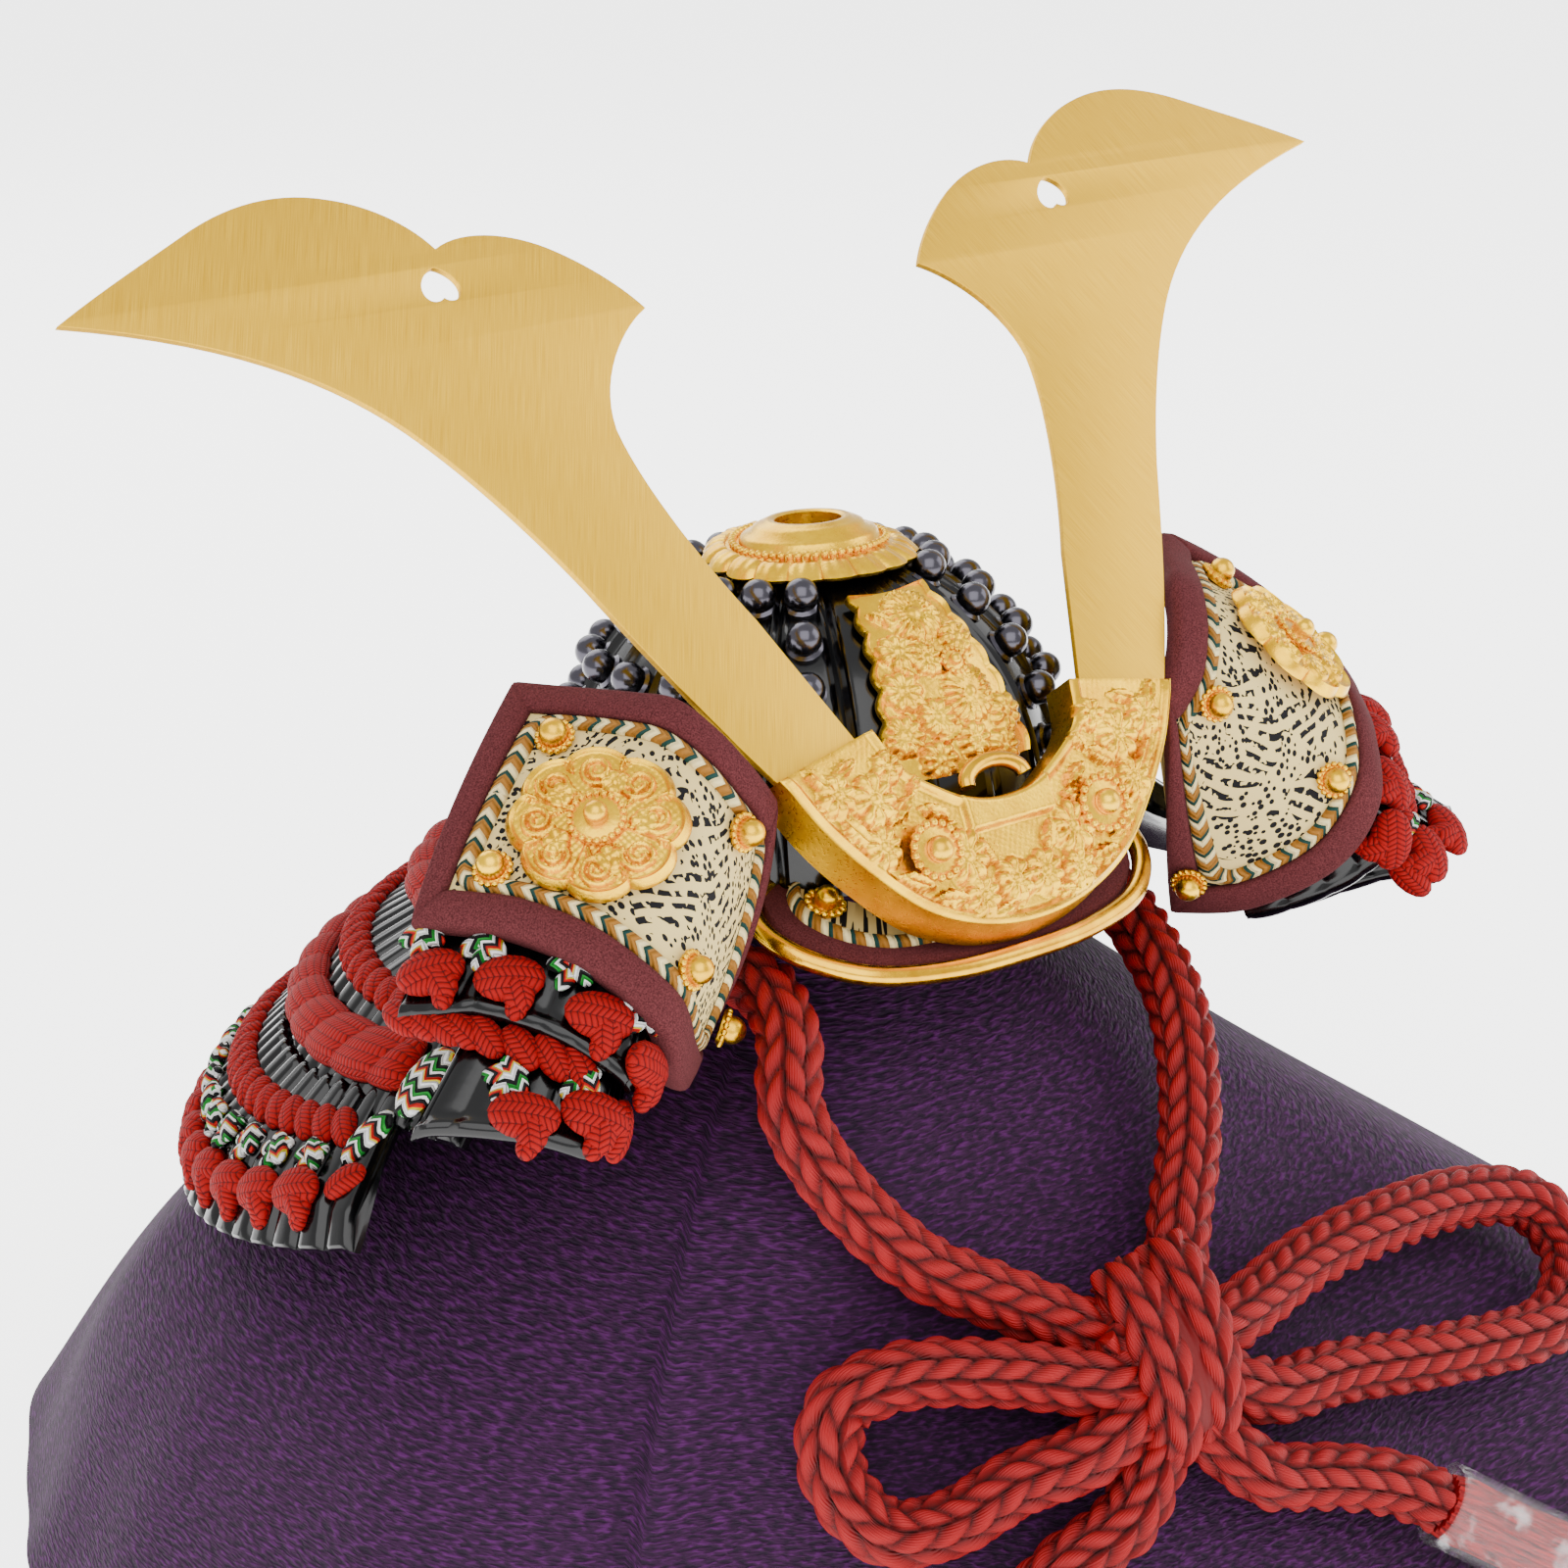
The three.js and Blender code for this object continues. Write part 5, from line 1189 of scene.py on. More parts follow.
def cloth_skin():
    """r = reach(azimuth, z) + wrinkles + one front fold, a step that eases out over ten degrees; two
    skins joined at the hem, the inner one with fewer rows."""
    azimuth = np.linspace(-180, 180, 385)
    z = np.concatenate([np.linspace(-9, -13, 5), np.linspace(-15, -165, 110)])
    radius = through(CLOTH_LEVELS, cloth_reach(azimuth), z).T
    a, depth = np.radians(azimuth)[None, :], np.clip((-z - 60) / 105, 0, 1)[:, None]
    wrinkle = (0.5 * np.sin(9 * a + 1.3 + 2 * depth) + 0.35 * np.sin(17 * a + 0.4 - 3 * depth)
               + 0.25 * np.sin(31 * a + 5 * depth) + 0.5 * np.sin(5 * a + 9 * depth))
    past = azimuth[None, :] - FOLD_AT
    begun = np.clip(past / 2.5, 0, 1)
    step = begun ** 2 * (3 - 2 * begun) * np.exp(-np.clip(past, 0, None) / 10)
    fold = FOLD_RISE * step * np.clip((-z[:, None] - 52) / 45, 0, 1)
    radius = radius - 0.35 + wrinkle * (0.1 + 0.9 * depth) + fold
    points = np.stack([radius * np.sin(a), -radius * np.cos(a), z[:, None] + 0 * a], -1)
    top = np.broadcast_to(np.array([0, 0, -8.6]), points[:1].shape)
    outer = np.concatenate([top, points], 0)
    inner = outer.copy()
    shrink = 1 - 0.5 / np.maximum(np.concatenate([[5], radius.mean(1)]), 5)
    inner[..., :2] *= shrink[:, None, None]
    inner[:-1, :, 2] -= CREPE_THICKNESS
    around = np.radians(azimuth)[None, :] * np.concatenate([[0], radius.mean(1)])[:, None]
    down = run_along(outer[:, len(azimuth) // 2])[:, None]
    uv = np.stack([around, -down + 0 * around], -1)
    few = np.unique(np.r_[0:12, 12:len(outer):3, len(outer) - 1])[::-1]
    return np.concatenate([outer, inner[few]], 0), np.concatenate([uv, uv[few]], 0)


cloth_points, cloth_uv = cloth_skin()
cloth = skin("crepe_cloth", display(cloth_points), crepe, cloth_uv, crease=80)
dress(cloth, "purple_crepe", "stand_cloth")
POST_PROFILE = [
    [0, -11.4], [3, -11.6], [6, -12.4], [8.5, -14], [10.2, -16.6], [11, -20], [11, -26], [9.6, -29],
    [7.4, -31.4], [7, -33], [7, -158], [7.8, -159], [58.6, -159], [60, -160.4], [60, -165], [0, -165],
]
post_points, post_faces = turned(POST_PROFILE, 64)
post = make_object("wooden_stand", display(post_points), post_faces, wood)
dress(post, "plain_wood", "stand_post")

# %% [markdown]
# ## The visor
# The visor is a crescent of board: printed leather inside a border of brown leather, a striped braid
# between the two, and a round gilt wire along its edge.

# %% Visor board, braid and wire
VISOR_EDGE = np.array([[0, 0], [14.4, 1], [26.5, 4.9], [33.6, 11.6], [36.2, 18.6], [34.6, 24.8], [28, 29]])
VISOR_MIDDLE = np.array([0, 24.0])
BOWL_CLEAR, BOWL_MIDDLE = 39.6, 51.4  # the inner edge's reach from the bowl's middle, and where that is


def visor_outline(inset, count=160):
    """The visor's edge moved in towards its middle; evenly spaced points from left round to right."""
    full = np.vstack([VISOR_EDGE[::-1][:-1] * [-1, 1], VISOR_EDGE])
    towards = VISOR_MIDDLE - full
    full = full + towards / np.linalg.norm(towards, axis=1)[:, None] * inset
    line, _ = smooth_path(np.c_[full, np.zeros(len(full))], count)
    return line[:, :2]


def visor_inner(count=160):
    """The inner edge of the visor, just outside the bowl."""
    t = np.linspace(-1.02, 1.02, count)
    forward = (BOWL_MIDDLE - BOWL_CLEAR * np.cos(t)) / math.cos(VISOR_SLOPE)
    return np.stack([BOWL_CLEAR * np.sin(t) * 0.9, forward], 1)


def between(a, b, share):
    """Rows of points part of the way from one line to another."""
    share = np.asarray(share, float)
    return a[None] * (1 - share[:, None, None]) + b[None] * share[:, None, None]


def visor_strip(name, lines, heights, material, uv_width=1.0):
    """A strip whose cross-section runs through flat lines at the given heights, closed underneath."""
    rows = [np.c_[line, np.full(len(line), height)] for line, height in zip(lines, heights)]
    points = np.stack([*rows, rows[0]], 1)
    along = run_along(lines[0])
    across = np.linspace(0, uv_width, points.shape[1])
    uv = np.stack(np.broadcast_arrays(across[None, :], along[:, None]), -1)
    return skin(name, visor(capped(points)), material, end_rows(uv), crease=50)


BOARD_SECTION = [(0, -1.6), (0.02, -0.5), (0.06, -0.05), (0.3, 0.0), (0.6, 0.0), (0.9, 0.0), (1.0, -0.4),
                 (1.0, -2.2)]
PRINT_SECTION = [(0, 0.0), (0.03, 0.3), (0.5, 0.35), (0.97, 0.3), (1.0, 0.0)]
BRAID_SECTION = [(7.2, 0.0), (7.4, 0.75), (8.0, 1.05), (8.6, 1.1), (9.2, 1.05), (9.6, 0.75), (9.8, 0.0)]

shares, heights = zip(*BOARD_SECTION)
board_lines = list(between(visor_outline(3.1), visor_inner(), shares))
board = visor_strip("visor_leather", board_lines, heights, brown_leather)
dress(board, "brown_leather", "visor_plate")
shares, heights = zip(*PRINT_SECTION)
print_lines = list(between(visor_outline(8.6), visor_inner() + [0, -0.6], shares))
dress(visor_strip("visor_print", print_lines, heights, printed_leather), "printed_leather")
insets, heights = zip(*BRAID_SECTION)
braid_lines = [visor_outline(inset, 240)[8:-8] for inset in insets]
dress(visor_strip("visor_braid", braid_lines, heights, flap_braid, 2.4), "printed_leather")
wire_route = np.c_[visor_outline(1.2, 80), np.full(80, -0.9)]
dress(plain_tube("visor_wire", visor(wire_route), 1.55, wire_gold, 220, 16), "gold_wire", "visor_rim")

# %% [markdown]
# ## The turned-back flaps
# A flap is a curved board, given by its top and bottom edges in eight sections.  One function gives the
# point at s from the front fold to the back edge, t from top to bottom and a height off the leather.
# Leather, binding, braid, plaque and studs are all laid out with it, so they follow its bend.

# %% The flap's surface
FLAP_TOP = np.array([[36.8, -38, -29.6], [39, -38, -26.5], [41.2, -37, -23.1], [44.1, -34, -18.5],
                     [46.9, -30, -14.9], [50.4, -25.5, -14.1], [55.5, -18.5, -13.5], [61.8, -11.5, -12.5]])
FLAP_LOW = np.array([[48.8, -26, -69.4], [56.1, -36.5, -68.3], [64, -47.5, -61.5], [68.7, -52, -52.2],
                     [74.7, -45.5, -43.8], [80.5, -36.5, -39.8], [84.8, -30.5, -39], [89, -24.5, -38.8]])
FLAP_BULGE = 2.4
FLAP_SIZE = np.array([58.0, 41.0])
BRAID_MARGIN = np.array([4.4, 5.2])
RIB_PITCH = 3.6


def table(rows, share):
    """Smooth interpolation through table rows, share from 0 to 1 along them."""
    rows = np.asarray(rows, float)
    place = np.clip(share, 0, 1) * (len(rows) - 1)
    i = np.minimum(np.floor(place).astype(int), len(rows) - 2)
    t = (place - i)[..., None]
    a, b, c, d = (rows[np.clip(i + k, 0, len(rows) - 1)] for k in (-1, 0, 1, 2))
    return hermite(t, b, (c - a) / 2, c, (d - b) / 2)


def flap_skin(s, t):
    """A point between the top and the bottom edge, with no lift."""
    s, t = np.broadcast_arrays(np.asarray(s, float), np.asarray(t, float))
    top, low = table(FLAP_TOP, s), table(FLAP_LOW, s)
    return top * (1 - t[..., None]) + low * t[..., None]


def flap_normal(s, t):
    """The flap's outward direction."""
    step = 0.04
    s0 = np.clip(s, step, 1 - step)
    along = flap_skin(s0 + step, t) - flap_skin(s0 - step, t)
    down = flap_skin(s0, np.asarray(t) + step) - flap_skin(s0, np.asarray(t) - step)
    return unit(np.cross(down, along))


def flap_point(s, t, height):
    """The same point with the leather's bulge, lifted off the skin."""
    s, t, height = np.broadcast_arrays(*(np.asarray(v, float) for v in (s, t, height)))
    inside = np.clip(t, 0, 1)
    lift = FLAP_BULGE * 4 * inside * (1 - inside) + height
    return flap_skin(s, t) + flap_normal(s, t) * lift[..., None]


def sided(points, hand):
    """Helmet points mirrored to the other side when hand is -1."""
    return helmet(points * np.array([hand, 1, 1]))


def flap_sheet(name, edges, low, high, material, hand, columns=90, rows=26, groove=0.0):
    """A sheet between two heights; edges are rows of s, from t and to t; its rim is rounded.  A grooved
    one has ribs, h = groove * (sqrt |sin(pi s / pitch)| - 1), and a lip at its low edge."""
    place = table(edges, np.linspace(0, 1, columns))
    j = np.linspace(0, 1, rows)[None, :]
    s = np.broadcast_to(place[:, :1], (columns, rows))
    t = place[:, 1:2] * (1 - j) + place[:, 2:3] * j
    drop = place[:, 2:3] - place[:, 1:2]
    rim_s = np.minimum(np.arange(columns), np.arange(columns)[::-1])[:, None] * FLAP_SIZE[0] / columns
    rim_t = np.minimum(j, 1 - j) * drop * FLAP_SIZE[1]
    fall = 0.4 * (1 - np.clip(np.minimum(rim_s, rim_t) / 0.7, 0, 1)) ** 2
    if groove:
        ribs = np.sqrt(np.abs(np.sin(np.pi * s * FLAP_SIZE[0] / RIB_PITCH))) - 1
        lip = np.exp(-(((1 - j) * drop * FLAP_SIZE[1] - 1.4) / 0.8) ** 2)
        fall = fall - groove * ribs * (1 - lip) - 0.5 * lip
    top = flap_point(s, t, high - fall)
    few = np.linspace(rows - 1, 0, 5).astype(int)
    under = flap_point(s[:, few], t[:, few], low)
    uv = np.stack([s * FLAP_SIZE[0], -t * FLAP_SIZE[1]], -1)
    grid = capped(np.concatenate([top, under, top[:, :1]], 1))
    uv = end_rows(np.concatenate([uv, uv[:, few], uv[:, :1]], 1))
    return skin(name, sided(grid, hand), material, uv, crease=50)


def flap_frame(margin_mm, corner_mm, count):
    """A rounded rectangle in s and t, a margin in from the flap's edges, with its inward directions."""
    half = FLAP_SIZE / 2 - margin_mm
    q = np.linspace(0, 2 * np.pi, count + 1)
    box = np.stack([np.cos(q), np.sin(q)], 1)
    box = box / np.maximum(np.abs(box[:, :1]), np.abs(box[:, 1:])) * half
    core = half - corner_mm
    nearest = np.clip(box, -core, core)
    off = box - nearest
    reach = np.linalg.norm(off, axis=1, keepdims=True)
    line = nearest + off / np.maximum(reach, 1e-9) * np.minimum(reach, corner_mm)
    step = unit(np.roll(line[:-1], -1, 0) - np.roll(line[:-1], 1, 0))
    step = np.vstack([step, step[:1]])
    inward = np.stack([-step[:, 1], step[:, 0]], 1)
    return line, inward


def flap_strip(name, margin_mm, corner_mm, section, material, hand, count=420):
    """A closed strip round the flap: section rows are how far in it lies, in mm, and its height."""
    line, inward = flap_frame(margin_mm, corner_mm, count)
    rings = []
    for inset, height in [*section, section[0]]:
        place = (line + inward * inset) / FLAP_SIZE + 0.5
        rings.append(flap_point(place[:, 0], place[:, 1], height))
    along = run_along(rings[0])
    across = np.array([inset for inset, _ in [*section, section[0]]])
    uv = np.stack(np.broadcast_arrays(across[:, None], along[None, :]), -1)
    return skin(name, sided(np.stack(rings), hand), material, uv, crease=50)


# %% [markdown]
# ### Binding, braid and plaque
# The suede binding is mitred, so its corners have a crease where two strips meet.  The gilt plaque is a
# polar chart: eight lobes, plum blossoms, and a scroll in each lobe, round a beaded boss.

# %% Flap coverings
BINDING_S, BINDING_T = 0.075, 0.125
BINDING_SECTION = [(0, -1.9), (-0.04, -0.6), (-0.04, 0.7), (0.02, 1.35), (0.12, 1.65), (0.5, 1.72),
                   (0.86, 1.6), (0.97, 1.2), (1.0, 0.5), (1.0, 0.1), (0, -1.9)]


def binding(name, hand):
    """The mitred frame: each row of its section is a share of the way in and a height."""
    count = 132
    side = np.linspace(0, 1, count, endpoint=False)
    zero, one = np.zeros(count), np.ones(count)
    s = np.concatenate([side, one, 1 - side, zero, [0]])
    t = np.concatenate([zero, side, one, 1 - side, [0]])
    to_corner = np.abs((np.arange(4 * count + 1) % count) / count)
    to_corner = np.minimum(to_corner, 1 - to_corner) * 45
    crease = 0.3 * np.exp(-(to_corner / 0.5) ** 2)
    rings = []
    for share, height in BINDING_SECTION:
        s_in = s * (1 - 2 * BINDING_S * share) + BINDING_S * share
        t_in = t * (1 - 2 * BINDING_T * share) + BINDING_T * share
        dip = crease if height > 1 else 0
        rings.append(flap_point(s_in, t_in, height - dip))
    return skin(name, sided(np.stack(rings), hand), brown_leather, crease=60)


def plaque_height(x, y, d):
    """Scrolls, blossoms, leaves and a raised rim, over a shallow dome; d is 1 at the rim."""
    height = 1.1 + 0.5 * (1 - d**2)
    relief = pebbles(x, y, 1.2, 0.1)
    for k in range(8):
        q = k * np.pi / 4 + 0.39
        at = (8.3 * math.cos(q), 7.7 * math.sin(q))
        relief = np.maximum(relief, scroll(x, y, at, 2.5, 1.6, 1 if k % 2 else -1, 0.42, 0.85))
    for k in range(5):
        q = k * 2 * np.pi / 5 + 0.95
        relief = np.maximum(relief, flower(x, y, (6.6 * math.cos(q), 6.2 * math.sin(q)), 2.15, 5, q, 1.15))
    for k in range(8):
        q = k * np.pi / 4
        outer = (10.4 * math.cos(q), 9.6 * math.sin(q))
        inner = (6.0 * math.cos(q + 0.2), 5.6 * math.sin(q + 0.2))
        relief = np.maximum(relief, leaf(x, y, outer, 3.6, 1.3, q, 0.75))
        relief = np.maximum(relief, leaf(x, y, inner, 3.4, 0.9, q + 0.6, 0.6))
    rim = 0.75 * np.exp(-((d - 0.94) / 0.028) ** 2)
    edge = np.clip((1 - d) / 0.045, 0, 1) ** 0.5
    return 0.35 + (height - 0.35 + np.maximum(relief, rim)) * edge


PLAQUE_HALF = (13.0, 12.0)


def plaque():
    """Points of the plaque about its own middle, with its outline in eight double lobes."""
    d = np.linspace(0, 1, 54)[:, None]
    q = np.linspace(0, 2 * np.pi, 241)[None, :]
    lobe = 0.89 + 0.11 * np.abs(np.sin(4 * q)) ** 0.7
    x, y = PLAQUE_HALF[0] * d * lobe * np.cos(q), PLAQUE_HALF[1] * d * lobe * np.sin(q)
    top = np.stack([x, y, plaque_height(x, y, d + 0 * q)], -1)
    under = np.stack([x[[-1, 0]], y[[-1, 0]], 0 * x[:2]], -1)
    points = np.concatenate([top, under], 0)
    return points.reshape(-1, 3), grid_faces(*points.shape[:2])


def on_flap(s, t, height, hand):
    """Place, along and out directions of a fitting on the flap, in the floor's frame."""
    place = flap_point(s, t, height)
    out = flap_normal(s, t)
    along = flap_skin(min(s + 0.03, 1), t) - flap_skin(s - 0.03, t)
    mirror = np.array([hand, 1, 1])
    return (sided(place, hand), direction(helmet, along * mirror), direction(helmet, out * mirror))


FLAP_STUDS = {  # s, t and height
    "upper_back": (0.84, 0.24, 0.35), "lower_back": (0.83, 0.79, 0.35), "upper_front": (0.27, 0.22, 0.35),
    "lower_middle": (0.4, 0.78, 0.35), "lower_front": (0.06, 0.8, 2.15),
}
FLAP_BRAID_SECTION = [(0, 0.1), (0.1, 0.7), (0.6, 1.15), (1.2, 1.3), (1.8, 1.15), (2.3, 0.7), (2.4, 0.1)]
PLAQUE_S, PLAQUE_T = 0.64, 0.55
plaque_shape, boss_shape, stud_shape = plaque(), rosette(4.1, 1.7, 2.0, 22), rosette(2.85, 2.05, 1.9, 16)

for side, hand in SIDES:
    leather = flap_sheet(f"flap_leather_{side}", [[0, 0, 1], [1, 0, 1]], -1.6, 0.0, printed_leather, hand,
                         120, 80)
    dress(leather, "printed_leather", f"flap_board_{side}")
    dress(binding(f"flap_binding_{side}", hand), "brown_leather", f"flap_border_{side}")
    strip = flap_strip(f"flap_braid_{side}", BRAID_MARGIN, 4.0, FLAP_BRAID_SECTION, flap_braid, hand)
    dress(strip, "printed_leather")
    stud_at(f"flap_plaque_{side}", f"flap_medallion_{side}", *on_flap(PLAQUE_S, PLAQUE_T, 0.35, hand),
            plaque_shape)
    stud_at(f"plaque_boss_{side}", f"medallion_boss_{side}", *on_flap(PLAQUE_S, PLAQUE_T, 2.0, hand),
            boss_shape)
    for spot, (s, t, height) in FLAP_STUDS.items():
        stud_at(f"flap_rosette_{spot}_{side}", f"flap_stud_{spot}_{side}", *on_flap(s, t, height, hand),
                stud_shape)

# %% [markdown]
# ## The neck guard
# Three tiers of lacquered scales hang round the back.  One function gives a point on a tier at an
# azimuth, a distance down it and a height off it, and the scales, ropes, knots and bands are laid out
# on it.  Each is a small shape copied along the tier, or one strip whose height repeats.

# %% The tiers' surface
TIERS = {  # rows of radius and height; where its ends are; how its low edge draws in; how its ends rise
    "top": {"rows": [(41, -43), (52, -47.5), (61, -54.5)], "front": (58, 58), "trim": 0.0, "climb": 0.0},
    "middle": {"rows": [(60.5, -57.4), (74, -64), (84.5, -75)], "front": (75, 75), "trim": 0.0,
               "climb": 0.0},
    "bottom": {"rows": [(86, -75.5), (96.5, -84), (103.5, -98)], "front": (112, 85), "trim": 0.45,
               "climb": 11.0},
}
GUARD_Y = 3


def tier_rows(tier, azimuth):
    """Radius and height of the tier's rows at each azimuth; trim draws in the lowest row at the ends."""
    rows = np.broadcast_to(np.array(tier["rows"], float), (len(azimuth), 3, 2)).copy()
    share = np.clip((np.abs(azimuth - 180) - 40) / 52, 0, 1)
    pull = (tier["trim"] * share * share * (3 - 2 * share))[:, None]
    rows[:, 2] = rows[:, 2] * (1 - pull) + rows[:, 1] * pull
    return rows


def tier_point(tier, azimuth, down, height):
    """A point at an azimuth in degrees, a distance down in mm and a height off the scales."""
    azimuth, down, height = np.broadcast_arrays(*(np.asarray(v, float) for v in (azimuth, down, height)))
    flat = azimuth.ravel()
    rows = tier_rows(tier, flat)
    first, second = rows[:, 1] - rows[:, 0], rows[:, 2] - rows[:, 1]
    long_a, long_b = np.linalg.norm(first, axis=1), np.linalg.norm(second, axis=1)
    d = down.ravel()
    on_first = np.clip(d, -20, long_a)[:, None] / long_a[:, None]
    on_second = np.clip(d - long_a, 0, None)[:, None] / long_b[:, None]
    place = rows[:, 0] + first * on_first + second * on_second
    blend = (np.clip((d - long_a) / 5, -1, 1) / 2 + 0.5)[:, None]
    run = unit(first / long_a[:, None] * (1 - blend) + second / long_b[:, None] * blend)
    out = np.stack([-run[:, 1], run[:, 0]], 1)
    place = place + out * height.ravel()[:, None]
    a = np.radians(flat)
    points = np.stack([place[:, 0] * np.sin(a), GUARD_Y - place[:, 0] * np.cos(a), place[:, 1]], 1)
    return points.reshape(*azimuth.shape, 3)


def tier_length(tier):
    """How far down the tier reaches, at the back."""
    rows = np.array(tier["rows"], float)
    return np.linalg.norm(np.diff(rows, axis=0), axis=1).sum()


def tier_ends(tier, extra=(0.0, 0.0)):
    """First and last azimuth, moved on by extra degrees at each end."""
    return tier["front"][0] + extra[0], 360 - tier["front"][1] - extra[1]


def share_to_end(azimuth):
    """From 0, well round the side, to 1 at a free end, squared so that it starts gently."""
    return np.clip((np.abs(np.asarray(azimuth, float) - 180) - 58) / 36, 0, 1) ** 2


def climb(tier, azimuth, level):
    """How far a row at a level rises towards the free ends."""
    return tier["climb"] * share_to_end(azimuth) * (0.5 + 0.5 * level / tier_length(tier))


COLUMNS_PER_SCALE, SCALE_RISE, BOARD_BACK = 12, 1.4, -1.2


def scales(name, tier, node, first=0.0, pitch=5.1):
    """The board: long flat scales with round heads, h = (1 - (off / w)^4)^(1/2) on each.  Its plain
    underside keeps only a few of the rows."""
    start, stop = tier_ends(tier)
    length = tier_length(tier)
    middle = np.array(tier["rows"], float)[:, 0].mean()
    count = int(round(math.radians(stop - start) * middle / pitch))
    azimuth = np.linspace(start, stop, count * COLUMNS_PER_SCALE + 1)
    level = np.concatenate([np.linspace(first, first + 2.6, 10), np.linspace(first + 3.2, length - 0.6, 16),
                            [length - 0.15, length]])
    off = np.abs((np.linspace(0, count, len(azimuth)) % 1.0) - 0.5)[:, None]
    head = np.sqrt(np.clip(1 - np.clip((2.2 + first - level) / 2.0, 0, 1) ** 2, 0, 1))[None]
    rise = np.sqrt(np.clip(1 - (off / np.maximum(0.37 * head, 1e-6)) ** 4, 0, 1))
    rounded_end = np.array([1.0] * (len(level) - 2) + [0.75, 0.2])
    down = level[None] - climb(tier, azimuth[:, None], level[None])
    slide = np.sign(azimuth - 180) * tier["climb"] * 0.4 * share_to_end(azimuth)
    slide = slide[:, None] * level / length
    top = tier_point(tier, azimuth[:, None] + slide, down, SCALE_RISE * rise * rounded_end)
    few = [-1, 22, 16, 5, 0]
    under = tier_point(tier, azimuth[:, None] + slide[:, few], down[:, few], BOARD_BACK)
    board = skin(name, helmet(capped(np.concatenate([top, under, top[:, :1]], 1))), black_lacquer, crease=35)
    dress(board, "black_lacquer", node)
    print(name, count, "scales")


scales("scales_top", TIERS["top"], "guard_lame_top")
scales("scales_middle", TIERS["middle"], "guard_lame_middle")
scales("scales_bottom", TIERS["bottom"], "guard_lame_bottom", -1.0)


# %% Lacing shapes
def strand_pad(half_length, half_width, half_height):
    """One stitch of cord: a ball drawn out along X, with its uv in millimetres."""
    points, faces = ball(12, 8, (half_width, half_height, half_length))
    points = points[:, [2, 0, 1]]
    uv = np.stack([points[:, 1] + 5, points[:, 0]], 1)
    return points, faces, uv


def together(*parts):
    """Several shapes as one, each turned by an angle in the plane and moved."""
    points, faces, uvs, base = [], [], [], 0
    for (shape, shape_faces, uv), degrees, move in parts:
        c, s = math.cos(math.radians(degrees)), math.sin(math.radians(degrees))
        turn = np.array([[c, -s, 0], [s, c, 0], [0, 0, 1]])
        points.append(shape @ turn.T + np.array(move))
        faces.append(shape_faces + base)
        uvs.append(uv)
        base += len(shape)
    return np.vstack(points), np.vstack(faces), np.vstack(uvs)


def lacing(name, shape, places, along, out, material, node=None):
    """Copies of one laced shape; X runs along, Z out."""
    points, faces = swarm(shape, places, basis(along, out))
    uv = np.tile(shape[2], (len(places), 1)) + np.repeat(np.arange(len(places)) * 1.7, len(shape[2]))[:, None]
    piece = make_object(name, points, faces, material, uv, crease=80)
    dress(piece, "red_lacing", *([node] if node else []))


rope_stitch = strand_pad(3.9, 2.3, 1.7)
small_knot = together((strand_pad(3.3, 1.6, 1.4), 35, (-0.7, 0.4, 0.7)),
                      (strand_pad(3.3, 1.6, 1.4), -35, (0.7, 0.4, 1.2)),
                      (strand_pad(2.2, 1.3, 1.1), 80, (0, -1.8, 0.7)))
cross_knot = together((strand_pad(5.0, 3.5, 2.3), 24, (-0.3, 0.6, 1.0)),
                      (strand_pad(4.0, 2.5, 2.0), -50, (1.2, -0.2, 1.1)),
                      (strand_pad(2.0, 1.6, 1.4), -72, (2.4, -2.8, 0.6)))


def on_tier(tier, azimuth, down, height):
    """Places, along and out directions on a tier, in the floor's frame."""
    azimuth, down = np.asarray(azimuth, float), np.asarray(down, float)
    place = tier_point(tier, azimuth, down, height)
    along = tier_point(tier, azimuth + 0.5, down, height) - tier_point(tier, azimuth - 0.5, down, height)
    lower = tier_point(tier, azimuth, down + 0.5, height) - tier_point(tier, azimuth, down - 0.5, height)
    out = np.cross(along, lower)
    flip = np.sign((out * (place - [0, GUARD_Y, -90])).sum(-1, keepdims=True))
    return helmet(place), direction(helmet, -along), direction(helmet, out * flip)


def along_tier(tier, pitch, extra=(0.0, 0.0)):
    """Azimuths evenly spaced at about a pitch in mm."""
    start, stop = tier_ends(tier, extra)
    radius = np.array(tier["rows"], float)[:, 0].mean()
    count = int(round(math.radians(stop - start) * radius / pitch))
    return start + (np.arange(count) + 0.5) * (stop - start) / count


def slanted(along, out, degrees):
    """The along directions turned in their surface's plane."""
    c, s = math.cos(math.radians(degrees)), math.sin(math.radians(degrees))
    along, out = unit(along), unit(out)
    return along * c + np.cross(out, along) * s


def row_on_tier(name, shape, tier, level, height, pitch, material, extra=(0.0, 0.0), turn=0.0, node=None):
    """A row of one laced shape at about a pitch, climbing towards the tier's free ends."""
    azimuth = along_tier(tier, pitch, extra)
    places, along, out = on_tier(tier, azimuth, level - climb(tier, azimuth, level), height)
    lacing(name, shape, places, slanted(along, out, turn), out, material, node=node)


BAND_MIDDLE, BAND_ROUND = 2.0, 2.9


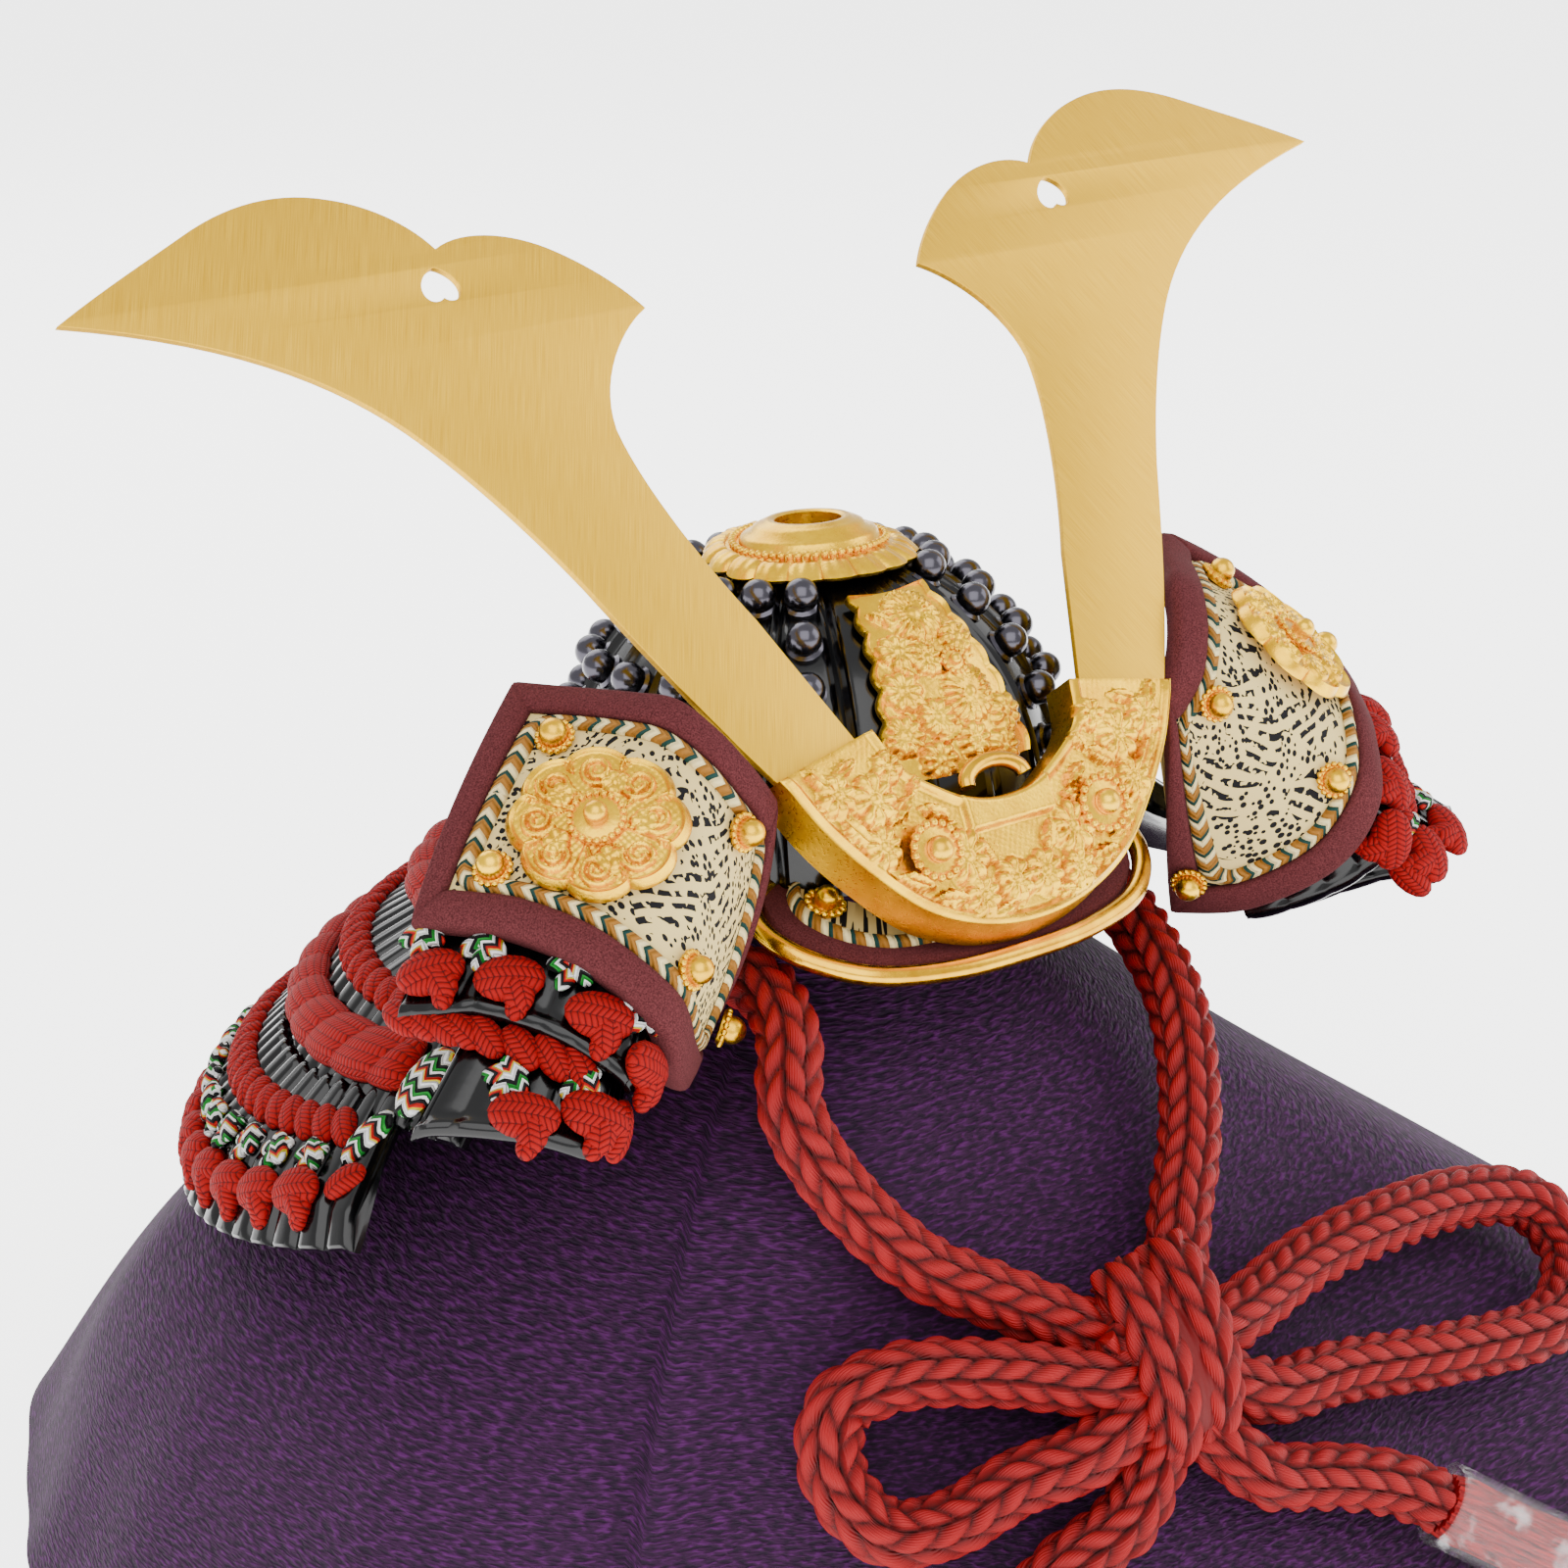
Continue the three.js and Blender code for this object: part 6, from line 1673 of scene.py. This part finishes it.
def fat_band(name, tier, level, node, extra, half_width, segment=10.0):
    """A fat knitted band: half round, and pinched where one segment slips under the next."""
    start, stop = tier_ends(tier, extra)
    length = math.radians(stop - start) * tier["rows"][1][0]
    run = np.linspace(0, length, int(length * 2))[:, None]
    q = np.linspace(0, 2 * np.pi, 33)[None, :]
    phase = (run / segment + 0.26 * np.cos(q)) % 1.0
    swell = 0.6 + 0.4 * np.clip(np.sin(np.pi * phase), 0, 1) ** 0.5
    azimuth = start + (stop - start) * run / length
    swell = swell * np.sqrt(np.clip(1 - np.clip(1 - np.minimum(run, length - run) / 3.5, 0, 1) ** 2, 0.02, 1))
    d = level - 3 * share_to_end(azimuth) + half_width * np.cos(q) * (0.7 + 0.3 * swell)
    height = BAND_MIDDLE + BAND_ROUND * np.sin(q) * swell
    uv = np.stack(np.broadcast_arrays(q * 4.2, run + 2.6 * np.cos(q)), -1)
    grid = capped(tier_point(tier, azimuth + 0 * q, d, height))
    piece = skin(name, helmet(grid), red_knit, end_rows(uv), crease=80)
    dress(piece, "red_lacing", node)


# %% Lacing on the tiers
top, middle, bottom = TIERS["top"], TIERS["middle"], TIERS["bottom"]
MIDDLE_BAND_ENDS = (49, 10)  # degrees short of the tier's own ends
ROPE_HEIGHT, ROPE_PITCH, ROPE_SLANT = 1.6, 4.9, -38
fat_band("lacing_band_top", top, 22.6, "guard_lacing_upper", (37, 37), 4.0)
fat_band("lacing_band_middle", middle, 24.4, "guard_lacing_middle", MIDDLE_BAND_ENDS, 4.6)
for name, tier, level, extra in (("rope_top", top, 14.5, (30, 30)), ("rope_middle", middle, 13.8, (30, 14)),
                                 ("rope_bottom", bottom, 8.0, (3, 3))):
    row_on_tier(name, rope_stitch, tier, level, ROPE_HEIGHT, ROPE_PITCH, red_knit, extra, ROPE_SLANT)
row_on_tier("mixed_knots_bottom", small_knot, bottom, 14.6, 1.0, 8.7, mixed_braid, (3, 3), 180)
row_on_tier("cross_knots_bottom", cross_knot, bottom, 22.0, 1.1, 9.7, red_knit, (3, 1), 180,
            "guard_lacing_lower")

# %% [markdown]
# ### The tiers' free ends
# A short thick braid of five colours closes the middle band where it ends, and another runs down the free
# edge of the lowest tier.

# %% Braids at the free ends
END_BRAIDS = [  # name, shape, tier, ends, degrees past the end, level, height, slant, finish
    ("middle", strand_pad(6.2, 3.5, 2.6), middle, MIDDLE_BAND_ENDS, 2.4, 23.0, 1.6, 74, mixed_braid),
    ("bottom", strand_pad(5.2, 2.2, 1.9), bottom, (0, 0), -0.6, 2.2, 1.4, 76, mixed_braid),
    ("bottom_red", strand_pad(3.6, 2.4, 1.8), bottom, (0, 0), 0.4, 9.4, 1.4, 60, red_knit),
]
for side, hand in SIDES:
    for name, shape, tier, ends, past, level, height, tilt, material in END_BRAIDS:
        first, last = tier_ends(tier, ends)
        azimuth = np.array([last + past if side == "left" else first - past])
        places, along, out = on_tier(tier, azimuth, level, height)
        lacing(f"end_braid_{name}_{side}", shape, places, slanted(along, out, -tilt * hand), out, material)

# %% [markdown]
# ## The ears
# The front ends of two tiers fold back with the flap and show below its edge: two lacquered boards with
# knots along them and a rope between.  They are laid out with the flap's own s and t, past t = 1.

# %% Boards and knots of the ears
EAR_BOARDS = {  # rows of s, from t and to t; then the height of the underside and of the face
    "upper": ([[0.12, 0.82, 1.12], [0.34, 0.82, 1.14], [0.55, 0.82, 1.22], [0.97, 0.82, 1.31]], -4.4, -3.1),
    "lower": ([[0.14, 0.93, 1.16], [0.3, 0.95, 1.21], [0.48, 1.02, 1.45], [0.76, 1.04, 1.72]], -7.8, -6.5),
}
EAR_COLUMNS, EAR_ROWS_DOWN, EAR_GROOVE = 200, 40, 0.45
EAR_KNOTS = [(0.9, 1.165), (0.69, 1.14), (0.53, 1.105), (0.4, 1.1)]
EAR_MIXED = [(0.97, 1.01), (0.79, 1.03), (0.6, 1.0), (0.45, 0.965)]
EAR_ROPE = [(0.97, 1.29), (0.9, 1.3), (0.83, 1.31), (0.765, 1.313), (0.7, 1.312), (0.64, 1.3),
            (0.585, 1.275), (0.535, 1.245)]
EAR_LOW_MIXED, EAR_LOW_KNOTS = [(0.64, 1.41), (0.53, 1.27)], [(0.595, 1.51), (0.49, 1.35)]
fold_stitch = strand_pad(4.6, 2.6, 2.0)
EAR_ROWS = [  # name, shape, spots, height, finish, slant, node
    ("knots", cross_knot, EAR_KNOTS, -2.7, red_knit, 180, "ear_lacing_upper"),
    ("mixed", small_knot, EAR_MIXED, -2.6, mixed_braid, 180, None),
    ("rope", rope_stitch, EAR_ROPE, -5.0, red_knit, 30, None),
    ("low_knots", cross_knot, EAR_LOW_KNOTS, -6.1, red_knit, 180, "ear_lacing_lower"),
    ("low_mixed", small_knot, EAR_LOW_MIXED, -6.0, mixed_braid, 180, None),
    ("fold", fold_stitch, [(0.37, 1.26)], -4.6, red_knit, 75, None),
]


def on_ear(name, shape, spots, height, material, hand, turn=0.0, node=None):
    """Copies of one laced shape at s, t spots."""
    places, along, out = (np.array(rows) for rows in zip(*[on_flap(s, t, height, hand) for s, t in spots]))
    lacing(name, shape, places, slanted(along, out, turn * hand), out, material, node=node)


for side, hand in SIDES:
    for level, (edges, low, high) in EAR_BOARDS.items():
        ear = flap_sheet(f"ear_scales_{level}_{side}", edges, low, high, black_lacquer, hand,
                         EAR_COLUMNS, EAR_ROWS_DOWN, EAR_GROOVE)
        dress(ear, "black_lacquer", f"ear_board_{level}_{side}")
    for name, shape, spots, height, material, turn, node in EAR_ROWS:
        on_ear(f"ear_{name}_{side}", shape, spots, height, material, hand, turn, node and f"{node}_{side}")
